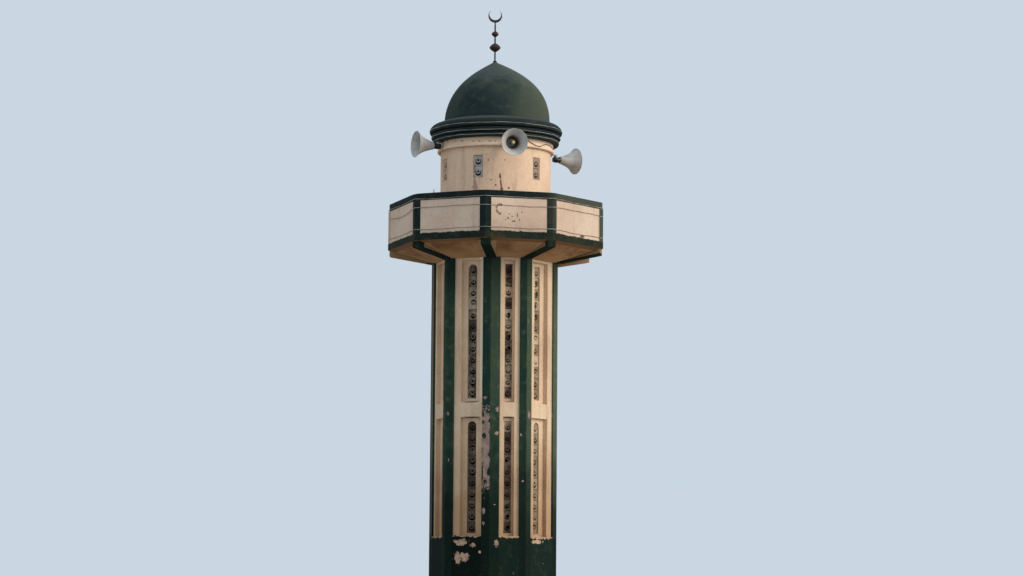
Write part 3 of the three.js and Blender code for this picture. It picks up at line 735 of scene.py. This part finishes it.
beam_paint = beam_finish()
painted("gallery_edge_beam", beam_paint, edge=0.006)


def gallery_finish():
    """Green, with painted sunlight making it paler on the sunny side."""
    paint = Finish("gallery_paint", roughness=0.82, specular=0.15)
    angle = paint.azimuth() + paint.wobble(6, 4, 4)
    # Painted sunlight: paler on the faces turned to the light.
    lit = paint.step(angle, 26, 40) * paint.step(angle, 165, 125)
    green = green_coat(paint, gallery_tint)
    green_with_painted_sun = paint.mix(lit * 0.32, green, shade(120, 120, 102))
    left_end = paint.step(paint.azimuth(), -95.7, -95.2) * paint.step(paint.azimuth(), -88, -90)
    left_end_face = left_end * paint.step(paint.height, 9.178, 9.172)
    paint.set("Base Color", paint.mix(left_end_face, green_with_painted_sun, shade(196, 168, 142)))
    paint.bump(paint.noise(22, 7, 0.7) * 0.4 + paint.noise(3, 4), 0.008)
    return paint


gallery_paint = gallery_finish()
painted("parapet_coping", gallery_paint, edge=0.012)
for number in range(1, 9):
    painted(f"parapet_post_{number}", gallery_paint, edge=0.004)

deck_top = 8.518


def panel_finish():
    """Cream with a green foot, specked, knocked and cracked."""
    paint = Finish("panel_paint", roughness=0.92)
    cream = cream_coat(paint, tint=(0.92, 0.94, 1.04))
    foot_wobble = paint.wobble(0.10, 9, 6, 0.75)
    green_foot = paint.step(paint.height + foot_wobble, deck_top + 0.018, deck_top + 0.006)
    specks = paint.step(paint.noise(17, 6, 0.75), 0.7, 0.74)
    knocks = paint.patches([
        (0.36, -2.01, 8.72, 0.03, 0.014), (0.25, -2.04, 8.78, 0.016, 0.02),
        (0.43, -1.99, 8.84, 0.010, 0.03), (1.728, -0.991, 8.556, 0.055, 0.032),
        (0.27, -2.03, 8.86, 0.012, 0.012), (0.20, -2.05, 8.74, 0.012, 0.012),
        (0.47, -1.98, 8.75, 0.012, 0.012), (0.52, -1.97, 8.90, 0.012, 0.012),
        (0.33, -2.01, 8.81, 0.014, 0.010), (0.12, -2.07, 9.03, 0.012, 0.022),
    ], depth=0.1, ragged=1.2, grain=34)
    hook_reach = paint.length(paint.scaled_from((0.100, -2.08, 8.950), (0.080, 9, 0.095)))
    off_hook = paint.size_of(hook_reach - 1 + paint.wobble(1.4, 18, 5, 0.7))
    hook_side = paint.step(paint.x, 0.13, 0.11) * paint.step(paint.y, -1.8, -1.9)
    hook_crack = paint.step(off_hook, 0.26, 0.14) * hook_side * 0.8
    speckled = paint.mix(paint.either([specks * 0.7, knocks, hook_crack]), cream, shade(116, 90, 76))
    paint.set("Base Color", paint.mix(green_foot, speckled, green_coat(paint, beam_tint)))
    paint.bump(paint.noise(24, 7, 0.7) * 0.4 + paint.noise(3, 4) - knocks * 0.4, 0.008)
    return paint


panel_paint = panel_finish()
for number in range(1, 9):
    painted(f"parapet_panel_{number}", panel_paint, edge=0.004)

# Drum: a round wall of rendered masonry on the gallery's floor, with small grilles of two pierced
# cement blocks set in it and, at the back, a doorway to the gallery with a steel leaf
def turned(name, profile, steps=128):
    """Draws a profile of (radius, level) points and spins it round the tower's axis."""
    piece = drawn(name, [Vector((radius, 0, level)) for radius, level in profile])
    bpy.ops.mesh.spin(steps=steps, angle=2 * math.pi, center=(0, 0, 0), axis=(0, 0, 1))
    bpy.ops.mesh.select_all(action="SELECT")
    bpy.ops.mesh.remove_doubles(threshold=0.00001)
    bpy.ops.mesh.normals_make_consistent(inside=False)
    bpy.ops.object.mode_set(mode="OBJECT")
    return piece


def smoothed(piece, angle=35):
    select_only(piece)
    bpy.ops.object.shade_smooth_by_angle(angle=math.radians(angle))
    return piece


def outward(azimuth):
    return Vector((math.sin(math.radians(azimuth)), -math.cos(math.radians(azimuth)), 0))


drum_radius = 1.110
drum_inner = 0.960
drum_top = 10.340
grille_azimuths = [-65.7, -18.4, 47, 114.3, 228]
grille_levels = (9.715, 10.165)
grille_width = 0.200
drum = turned("drum_wall", [
    (drum_inner, deck_top + 0.0005), (drum_radius, deck_top + 0.0005),
    (drum_radius, drum_top - 0.0005), (drum_inner, drum_top - 0.0005), (drum_inner, deck_top + 0.0005),
])
middle_radius = (drum_radius + drum_inner) / 2
for azimuth in grille_azimuths:
    middle = outward(azimuth) * middle_radius
    middle.z = sum(grille_levels) / 2
    bpy.ops.mesh.primitive_cube_add(
        size=1, location=middle, rotation=(0, 0, math.radians(azimuth)),
        scale=(grille_width, 0.4, grille_levels[1] - grille_levels[0]),
    )
    drilled(drum, settled(bpy.context.object, "grille_cut"))
gallery_door_width = 0.620
gallery_door_height = 1.640
door_cut_middle = (0, middle_radius, deck_top + gallery_door_height / 2 - 0.05)
drilled(drum, box("door_cut", door_cut_middle, (gallery_door_width, 0.4, gallery_door_height + 0.1)))
smoothed(drum)


def drum_finish():
    """Cream with rusty runs, stains and knocks, and painted light that makes the neck band paler."""
    paint = Finish("drum_paint", roughness=0.92)
    cream = cream_coat(paint, tint=(1.12, 1.07, 1.09))
    rust_runs = paint.step(paint.noise(9, 4, 0.6, stretch=(1, 1, 0.05), shift=(7, 0, 0)), 0.58, 0.75)
    rusty = paint.mix(rust_runs * 0.4, cream, shade(176, 124, 98))
    marks = paint.patches([
        (0.085, -1.107, 9.73, 0.022, 0.055), (0.100, -1.105, 9.63, 0.016, 0.06),
        (0.114, -1.104, 9.54, 0.018, 0.05), (0.118, -1.104, 9.47, 0.026, 0.035),
        (-0.093, -1.106, 9.660, 0.016, 0.016), (0.002, -1.110, 9.554, 0.018, 0.018),
        (0.255, -1.080, 9.505, 0.020, 0.02), (0.177, -1.096, 10.057, 0.014, 0.014),
        (-0.143, -1.101, 10.054, 0.014, 0.014),
    ], ragged=1.2, grain=24)
    stain = paint.patches([
        (-0.410, -1.031, 9.62, 0.032, 0.09), (-0.398, -1.036, 9.50, 0.055, 0.09),
    ], ragged=1.2, grain=16)
    neck_ticks = paint.patches([
        (-0.958, -0.654, 10.500, 0.022, 0.014), (-0.803, -0.837, 10.472, 0.022, 0.012),
        (-0.672, -0.945, 10.455, 0.026, 0.014), (-0.447, -1.070, 10.437, 0.020, 0.012),
        (-0.324, -1.114, 10.431, 0.020, 0.012), (-0.122, -1.153, 10.426, 0.034, 0.012),
        (-0.014, -1.160, 10.426, 0.018, 0.012),
    ], depth=0.05, ragged=0.5, grain=24)
    marked = paint.either([marks * 0.85, neck_ticks * 0.7])
    stained = paint.mix(stain * 0.55, rusty, shade(118, 88, 80))
    # Painted light: the neck band, in the cornice's shade, is lightened.
    on_neck = paint.step(paint.height, drum_top, drum_top + 0.02)
    neck_painted_light = paint.mix(on_neck * 0.8, stained, shade(246, 216, 186))
    paint.set("Base Color", paint.mix(marked, neck_painted_light, shade(92, 66, 56)))
    paint.bump(paint.noise(24, 7, 0.7) * 0.3 + paint.noise(2.5, 4) - marks * 0.3, 0.008)
    return paint


drum_paint = drum_finish()
finished(drum, drum_paint, "cream_render", *[f"drum_wall_{number}" for number in range(1, 7)])


def grille_finish():
    """Cement that takes the colour of the light where it stands."""
    paint = Finish("grille_block", roughness=0.95)
    grey = paint.mix(
        paint.step(paint.noise(9, 6, 0.7), 0.38, 0.68), shade(148, 140, 136), shade(198, 188, 178),
    )
    left_brown = paint.mix(paint.step(paint.x, -0.5, -0.8) * 0.95, grey, shade(202, 170, 146))
    right_tan = paint.mix(paint.step(paint.x, 0.5, 0.7) * 0.8, left_brown, shade(158, 136, 112))
    paint.set("Base Color", right_tan)
    paint.bump(paint.noise(45, 6, 0.75), 0.005)
    return paint


grille_paint = grille_finish()
grille_block_height = (grille_levels[1] - grille_levels[0]) / 2
grille_block = pierced_block("grille_block_master", grille_width - 0.004, grille_block_height, block_depth)
for number, azimuth in enumerate(grille_azimuths, start=1):
    pair = []
    for row in (0, 1):
        face = outward(azimuth) * (drum_radius - 0.012 - block_depth)
        place = Matrix.Translation((face.x, face.y, grille_levels[0] + row * grille_block_height))
        where = place @ Matrix.Rotation(math.radians(azimuth), 4, "Z")
        pair.append(copied(grille_block, f"grille_row_{row}", where))
    grille = joined(pair, f"drum_grille_{number}")
    finished(grille, grille_paint, "deck_concrete")
bpy.data.objects.remove(grille_block)
painted("gallery_door", door_paint, edge=0.003)
gallery_door_turn = Matrix.Rotation(math.pi, 4, "Z")
gallery_door_front = -0.980
door_fittings(
    "gallery_door_fittings", gallery_door_turn, gallery_door_width, gallery_door_front,
    deck_top, deck_top + gallery_door_height,
)

# Neck band and cornice: a plastered cream band with a bead at its foot, then three stepped rings and
# a sloping top in green, all run round in cement with a template
neck_top = 10.516
neck_radius = 1.160
neck = turned("neck_band_render", [
    (drum_inner, drum_top), (1.166, drum_top), (1.175, 10.350), (1.178, 10.372), (1.175, 10.392),
    (1.168, 10.402), (neck_radius, 10.406), (neck_radius, neck_top), (drum_inner, neck_top),
    (drum_inner, drum_top),
])
smoothed(neck, 50)
finished(neck, drum_paint, "cream_render", "neck_band")


def cornice_finish():
    """Dark green, with a painted highlight on the sloping top."""
    paint = Finish("cornice_paint", roughness=0.8)
    green = green_coat(paint, tint=(0.38, 0.42, 0.60))
    # Painted highlight: the sloping top is made paler.
    sloping_top = paint.step(paint.height + paint.wobble(0.03, 5, 4), 10.86, 10.90)
    top_painted_highlight = paint.mix(sloping_top * 0.5, green, shade(84, 92, 84))
    paint.set("Base Color", top_painted_highlight)
    paint.bump(paint.noise(22, 7, 0.7) * 0.3 + paint.noise(3, 4), 0.008)
    return paint


cornice_paint = cornice_finish()
first_ring = 1.270
second_ring = 1.300
third_ring = 1.335
cornice = turned("cornice_rings", [
    (drum_inner, neck_top), (1.262, neck_top), (first_ring, 10.528), (first_ring, 10.592),
    (1.264, 10.600), (1.240, 10.606), (1.240, 10.616), (1.292, 10.620), (second_ring, 10.632),
    (second_ring, 10.692), (1.294, 10.700), (1.252, 10.706), (1.252, 10.726), (1.326, 10.732),
    (third_ring, 10.746), (third_ring, 10.788), (1.330, 10.812), (1.316, 10.840), (1.290, 10.868),
    (1.256, 10.894), (1.190, 10.922), (1.116, 10.946), (1.088, 10.957), (drum_inner, 10.957),
    (drum_inner, neck_top),
])
smoothed(cornice, 40)
finished(cornice, cornice_paint, "green_paint", "cornice")

# Dome: a pointed shell of cement render, shaped by eye so that its shoulder leans one way and its
# tip the other. It is painted green, olive on the sunny side and grey at the crown.
dome_top = 12.225
cornice_top = 10.960
dome_foot_radius = 1.062
dome_tip_radius = 0.026
dome_foot_pull = 0.825
dome_crown_pull = 0.155
dome_crown_slope = 1.75
dome_shell = 0.1


def bezier(points, share):
    a, b, c, d = (Vector(point) for point in points)
    rest = 1 - share
    return a * rest ** 3 + b * 3 * share * rest ** 2 + c * 3 * share ** 2 * rest + d * share ** 3


def dome_curve(foot_radius, tip_radius, tip_level, steps):
    foot_pull = dome_foot_pull * (tip_level - cornice_top) / (dome_top - cornice_top)
    foot = (foot_radius, cornice_top)
    shoulder = (foot_radius, cornice_top + foot_pull)
    crown = (tip_radius + dome_crown_pull * dome_crown_slope, tip_level - dome_crown_pull)
    points = [foot, shoulder, crown, (tip_radius, tip_level)]
    return [tuple(bezier(points, step / steps)) for step in range(steps + 1)]


def dome_lean(level):
    share = (level - cornice_top) / (dome_top - cornice_top)
    return 0.020 + 0.040 * share - 0.092 * share ** 4


def leaned(piece, levels):
    """Pushes each ring of a turned piece sideways by the lean at its level."""
    select_only(piece)
    for level in levels:
        bpy.ops.object.mode_set(mode="EDIT")
        bpy.ops.mesh.select_all(action="DESELECT")
        bpy.ops.object.mode_set(mode="OBJECT")
        for corner in piece.data.vertices:
            corner.select = abs(corner.co.z - level) < 1e-5
        bpy.ops.object.mode_set(mode="EDIT")
        bpy.ops.transform.translate(value=(dome_lean(level), 0, 0))
    bpy.ops.object.mode_set(mode="OBJECT")
    return piece


outer = dome_curve(dome_foot_radius, dome_tip_radius, dome_top, 44) + [(0.0, dome_top)]
inner = dome_curve(dome_foot_radius - dome_shell, 0.0, dome_top - 2 * dome_shell, 16)
dome = turned("dome_shell", inner[::-1] + outer)
ring_levels = sorted({round(corner.co.z, 5) for corner in dome.data.vertices})
leaned(dome, ring_levels)
smoothed(dome, 50)


def dome_finish():
    """Dark green, olive on the sunny side and grey at the crown."""
    paint = Finish("dome_paint", roughness=0.78, specular=0.1)
    mottle = paint.step(paint.noise(1.5, 6, 0.62), 0.36, 0.68)
    base = paint.mix(mottle, shade(35, 50, 49), shade(56, 66, 56))
    fine = paint.step(paint.noise(9, 7, 0.72), 0.45, 0.8)
    worn = paint.mix(fine * 0.5, base, shade(84, 90, 78))
    east = paint.step(paint.x + paint.wobble(0.6, 2, 4), -0.1, 0.9)
    olive = paint.mix(east * 0.4, worn, shade(104, 108, 84))
    crown = paint.step(paint.height + paint.wobble(0.5, 3, 5), 11.55, 11.95)
    grey = paint.mix(crown * 0.36, olive, shade(102, 108, 100))
    paint.set("Base Color", paint.vector("MULTIPLY", grey, (0.94, 0.96, 1.06)))
    paint.set("Roughness", 0.66 + 0.25 * paint.noise(4, 4))
    paint.bump(paint.noise(20, 7, 0.7) * 0.3 + paint.noise(2, 4), 0.012)
    return paint


dome_paint = dome_finish()
finished(dome, dome_paint, "dome_paint", "dome")

# Finial: a steel rod set in the dome's crown, through two bulbs that are each a pair of pressed bowls,
# with a crescent cut from plate welded on top. Its dark paint has gone to rust in places.
rod_radius = 0.016
rod_top = 12.990
finial_shift = dome_lean(dome_top)


def bulb(level, radius, half):
    foot = (rod_radius, level - half)
    rim = (radius, level - 0.006)
    belly = (0.72 * radius, level - 0.7 * half)
    lower_half = []
    for step in range(9):
        share = step / 8
        rest = 1 - share
        point = Vector(foot) * rest ** 2 + Vector(belly) * 2 * share * rest + Vector(rim) * share ** 2
        lower_half.append(tuple(point))
    upper_half = [(x, 2 * level - z) for x, z in lower_half[::-1]]
    return lower_half + [(radius, level)] + upper_half


def two_tone(finish, blotches, edges, tones, relief):
    """Blotches of a second tone and a fine bump, both from noise of a scale, detail and roughness."""
    blotchy = finish.step(finish.noise(*blotches), *edges)
    finish.set("Base Color", finish.mix(blotchy, *tones))
    finish.bump(finish.noise(*relief), 0.001)


finial = turned("finial_rod", [
    (0.0, dome_top), (0.040, dome_top), (0.040, dome_top + 0.014), (rod_radius, dome_top + 0.034),
    *bulb(12.525, 0.113, 0.088), *bulb(12.803, 0.072, 0.060), (rod_radius, rod_top), (0.0, rod_top),
], 32)
finial.data.transform(Matrix.Translation((finial_shift, 0, 0)))
smoothed(finial, 40)
finial_paint = Finish("finial_steel", roughness=0.5, metallic=0.35, specular=0.5)
rusty_steel = (shade(36, 34, 36), shade(84, 50, 38))
two_tone(finial_paint, (13, 6, 0.7), (0.42, 0.62), rusty_steel, (60, 5, 0.7))
finial_paint.set("Roughness", 0.4 + 0.4 * finial_paint.noise(11, 4))
finished(finial, finial_paint, "finial_steel", "finial")
painted("crescent", finial_paint, edge=0.008)

# Loudspeaker horns: spun aluminium bells in pale enamel round an inner cone, each with a black
# driver behind it. A steel arm fixed to the neck band carries it by a saddle strapped over the driver.
horn_length = 0.545
mouth = 0.267
driver_radius = 0.059
driver_length = 0.160
throat_radius = 0.072
bell_depth = horn_length - driver_length - 0.012

# Each horn's azimuth, its mouth's level and distance from the axis, and its upward tilt
horns = [
    (-66.6, 10.426, 1.744, 1.5), (12.2, 10.324, 1.745, -6.0),
    (121.7, 10.362, 1.923, 1.0), (195, 10.350, 1.745, 0.0),
]


def bell_radius(share):
    return throat_radius + 0.110 * share + 0.079 * share ** 3.5


bell_outside = []
for step in range(25):
    share = step / 24
    bell_outside.append((bell_radius(share), driver_length + 0.004 + bell_depth * share))
bell_rim = [
    (mouth - 0.003, horn_length - 0.010), (mouth, horn_length - 0.006),
    (mouth - 0.001, horn_length - 0.001), (mouth - 0.006, horn_length),
]
bell_inside = [(radius - 0.005, level + 0.003) for radius, level in bell_outside[:2:-1]]
bell_foot = bell_inside[-1][1]
bell_profile = [(0.0, driver_length), (throat_radius - 0.006, driver_length)] + bell_outside + bell_rim
bell_profile += bell_inside + [(0.056, bell_foot - 0.012), (0.0, bell_foot - 0.012)]
cone_profile = [
    (0.0, bell_foot - 0.011), (0.030, bell_foot - 0.011), (0.032, bell_foot + 0.05),
    (0.042, bell_foot + 0.12), (0.051, bell_foot + 0.175), (0.052, bell_foot + 0.188),
    (0.046, bell_foot + 0.194), (0.018, bell_foot + 0.202), (0.0, bell_foot + 0.204),
]
tip_profile = [
    (0.0, bell_foot + 0.204), (0.026, bell_foot + 0.2045), (0.030, bell_foot + 0.212),
    (0.026, bell_foot + 0.226), (0.013, bell_foot + 0.234), (0.0, bell_foot + 0.237),
]
liner_outside = [(radius - 0.0006, level) for radius, level in bell_inside[6:]]
liner_profile = liner_outside + [(radius - 0.0022, level) for radius, level in liner_outside[::-1]]
liner_profile.append(liner_profile[0])
liner_low = liner_outside[-1][1]
liner_high = liner_outside[0][1]
driver_profile = [
    (0.0, 0.0), (0.034, 0.0), (0.050, 0.006), (0.055, 0.016), (0.055, 0.048), (driver_radius, 0.054),
    (driver_radius, 0.100), (0.055, 0.106), (0.055, 0.128), (driver_radius, 0.133),
    (driver_radius, 0.152), (0.054, 0.157), (0.0, driver_length - 0.0005),
]
enamel = Finish("horn_enamel", roughness=0.45, specular=0.5)
two_tone(enamel, (6, 6, 0.65), (0.4, 0.75), (shade(194, 192, 190), shade(160, 153, 146)), (30, 4))
enamel.set("Roughness", 0.35 + 0.35 * enamel.noise(5, 4))
black = Finish("driver_black", roughness=0.28, specular=0.5)
two_tone(black, (14, 5, 0.7), (0.45, 0.75), (shade(16, 16, 18), shade(48, 45, 42)), (60, 4))
# The cone is dark olive, darkened as painted shade inside the bell.
cone_enamel_and_shade = Finish("cone_enamel_and_shade", roughness=0.85, specular=0.1)
two_tone(cone_enamel_and_shade, (9, 5, 0.65), (0.4, 0.7), (shade(118, 108, 82), shade(74, 70, 52)), (30, 4))
tip_enamel = Finish("tip_enamel", roughness=0.7, specular=0.2)
two_tone(tip_enamel, (20, 4), (0.4, 0.7), (shade(222, 206, 158), shade(188, 170, 126)), (30, 4))
# The throat liner darkens with depth into the bell: painted shade, with brown dust.
throat_dust_and_shade = Finish("throat_dust_and_shade", roughness=0.8, specular=0.2)
throat_depth = throat_dust_and_shade.node("ShaderNodeAttribute", {"attribute_name": "depth"}, output="Fac")
throat_brown = throat_dust_and_shade.step(throat_dust_and_shade.noise(12, 5, 0.65), 0.4, 0.7)
throat_dark = throat_dust_and_shade.mix(throat_brown, shade(98, 86, 66), shade(70, 64, 50))
deep_shade_in_throat = throat_dust_and_shade.step(throat_depth + throat_dust_and_shade.wobble(0.3, 8, 4, 0.6), 0.05, 0.62)
throat_dust_and_shade.set("Base Color", throat_dust_and_shade.mix(deep_shade_in_throat, shade(186, 182, 178), throat_dark))
throat_dust_and_shade.bump(throat_dust_and_shade.noise(40, 4), 0.001)
cone_tip = smoothed(turned("tip_master", tip_profile, 24))
liner = smoothed(turned("liner_master", liner_profile, 64))
liner_depth = liner.data.attributes.new("depth", "FLOAT", "POINT")
for corner, depth in zip(liner.data.vertices, liner_depth.data):
    depth.value = (liner_high - corner.co.z) / (liner_high - liner_low)
horn_parts = [
    (smoothed(turned("bell_master", bell_profile, 64)), "horn_bell", enamel),
    (smoothed(turned("cone_master", cone_profile, 40)), "horn_cone", cone_enamel_and_shade),
    (cone_tip, "horn_tip", tip_enamel),
    (liner, "horn_throat", throat_dust_and_shade),
    (smoothed(turned("driver_master", driver_profile, 40)), "horn_driver", black),
]
for number, (azimuth, level, reach, tilt) in enumerate(horns, start=1):
    out = outward(azimuth)
    forward = out * math.cos(math.radians(tilt)) + Vector((0, 0, math.sin(math.radians(tilt))))
    across = Vector((0, 0, 1)).cross(out).normalized()
    above = forward.cross(across)
    mouth_middle = Vector((out.x * reach, out.y * reach, level))
    back = mouth_middle - forward * horn_length
    where = Matrix.Translation(back) @ Matrix((across, above, forward)).transposed().to_4x4()
    for master, name, finish in horn_parts:
        nodes = [f"horn_{number}"] if name == "horn_bell" else []
        finished(copied(master, f"{name}_{number}", where), finish, "horn_enamel", *nodes)
for master, name, finish in horn_parts:
    bpy.data.objects.remove(master)

bracket_paint = Finish("bracket_steel", roughness=0.5, metallic=0.3, specular=0.5)
grey_and_rust = (shade(150, 150, 148), shade(104, 84, 70))
two_tone(bracket_paint, (16, 6, 0.7), (0.5, 0.7), grey_and_rust, (60, 5, 0.7))
for number in range(1, 5):
    painted(f"horn_bracket_{number}", bracket_paint, edge=0.002)

# Light strings: plastic cable tacked round the parapet and the cornice's rings, hanging a little
# between its clips. A black cable is clipped to the neck band from one loudspeaker to the next, and
# a nail is left standing in the coping.
def cable(name, route, thickness):
    """A cable of round section along a route."""
    piece = drawn(name, route)
    bpy.ops.mesh.remove_doubles(threshold=0.00001)
    bpy.ops.object.mode_set(mode="OBJECT")
    select_only(piece)
    bpy.ops.object.convert(target="CURVE")
    piece.data.bevel_depth = thickness / 2
    piece.data.bevel_resolution = 1
    bpy.ops.object.convert(target="MESH")
    return smoothed(bpy.context.object, 60)


gallery_corners = [
    (-2.160, 0.200), (-1.582, -1.496), (-0.194, -2.160), (1.130, -1.790),
    (2.160, -0.400), (1.925, 0.985), (0.176, 2.160), (-1.250, 1.765),
]
gallery_sides = [Side(start, end) for start, end in pairs_round(gallery_corners)]
string_thickness = 0.008
string_stand_off = 0.0043


def round_gallery(level, setback, sags):
    route = []
    for number, side in enumerate(gallery_sides):
        for step in range(12):
            share = step / 12
            wave = 0.004 * math.sin(9 * share + 2.3 * number) + 0.003 * math.sin(23 * share + number)
            sag = sags.get(number, -0.010) * math.sin(math.pi * share)
            out = string_stand_off - setback
            route.append(side.point((2 * share - 1) * side.half, out, level + wave + sag))
    return route + route[:1]


def round_cornice(radius, level):
    route = []
    for step in range(96):
        azimuth = 360 * step / 96
        kink = 0.004 * math.sin(math.radians(azimuth) * 7) + 0.003 * math.sin(math.radians(azimuth) * 19)
        route.append(outward(azimuth) * (radius + string_stand_off) + Vector((0, 0, level + kink)))
    return route + route[:1]


string_paint = Finish("string_cable", roughness=0.6)
string_dirt = string_paint.step(string_paint.noise(5, 5, 0.6), 0.4, 0.65)
string_pale = string_paint.mix(string_dirt, shade(206, 200, 186), shade(156, 146, 130))
# Painted shadow: over the cream panels the cable is darkened as if its shadow lay beside it; by the posts
# it stays pale.
by_post = string_paint.patches([(x, y, 8.8, 0.125, 9) for x, y in gallery_corners], depth=0.125, ragged=0)
painted_shadow_over_panel = (1 - by_post) * string_paint.step(string_paint.height, 9.12, 9.10)
string_paint.set("Base Color", string_paint.mix(painted_shadow_over_panel, string_pale, shade(112, 76, 62)))
string_paint.bump(string_paint.noise(40, 3), 0.0005)
parapet_setback = 0.002
riser_middle = gallery_sides[5].point(0, string_stand_off, 0)
coping_level = 9.204
upper_level = 9.030
lower_level = 8.600
gallery_routes = {
    "coping_string": round_gallery(coping_level, 0, {}),
    "upper_string": round_gallery(upper_level, parapet_setback, {0: -0.07, 1: 0.004, 3: 0.012}),
    "lower_string": round_gallery(lower_level, parapet_setback, {2: -0.014}),
    "riser": [riser_middle + Vector((0, 0, level)) for level in (lower_level, 8.9, coping_level)],
}
gallery_strings = [cable(name, route, string_thickness) for name, route in gallery_routes.items()]
finished(joined(gallery_strings, "gallery_strings"), string_paint, "string_cable", "light_string_gallery")
cornice_string_thickness = 0.007
cornice_lines = [(first_ring, 10.558), (second_ring, 10.644), (third_ring, 10.780)]
cornice_strings = [
    cable(f"ring_{level}", round_cornice(radius, level), cornice_string_thickness)
    for radius, level in cornice_lines
]
finished(joined(cornice_strings, "cornice_strings"), string_paint, "string_cable", "light_string_cornice")

speaker_route = [
    (0.560, -1.025, 10.492), (0.630, -0.983, 10.471), (0.707, -0.934, 10.432), (0.783, -0.891, 10.388),
    (0.882, -0.793, 10.378), (0.947, -0.690, 10.425), (0.999, -0.604, 10.458), (1.077, -0.450, 10.454),
    (1.132, -0.294, 10.436), (1.160, -0.130, 10.420),
]
speaker_cable_thickness = 0.014
speaker_points = [Vector(point) for point in speaker_route]
speaker_cable = cable("speaker_cable", speaker_points, speaker_cable_thickness)
finished(speaker_cable, black, "horn_enamel")
nail_foot = Vector((-1.206, -1.640, 9.312))
nail_length = Vector((0, 0, 0.074))
nail_thickness = 0.014
nail = cable("coping_nail", [nail_foot, nail_foot + nail_length], nail_thickness)
finished(nail, finial_paint, "bracket_steel")
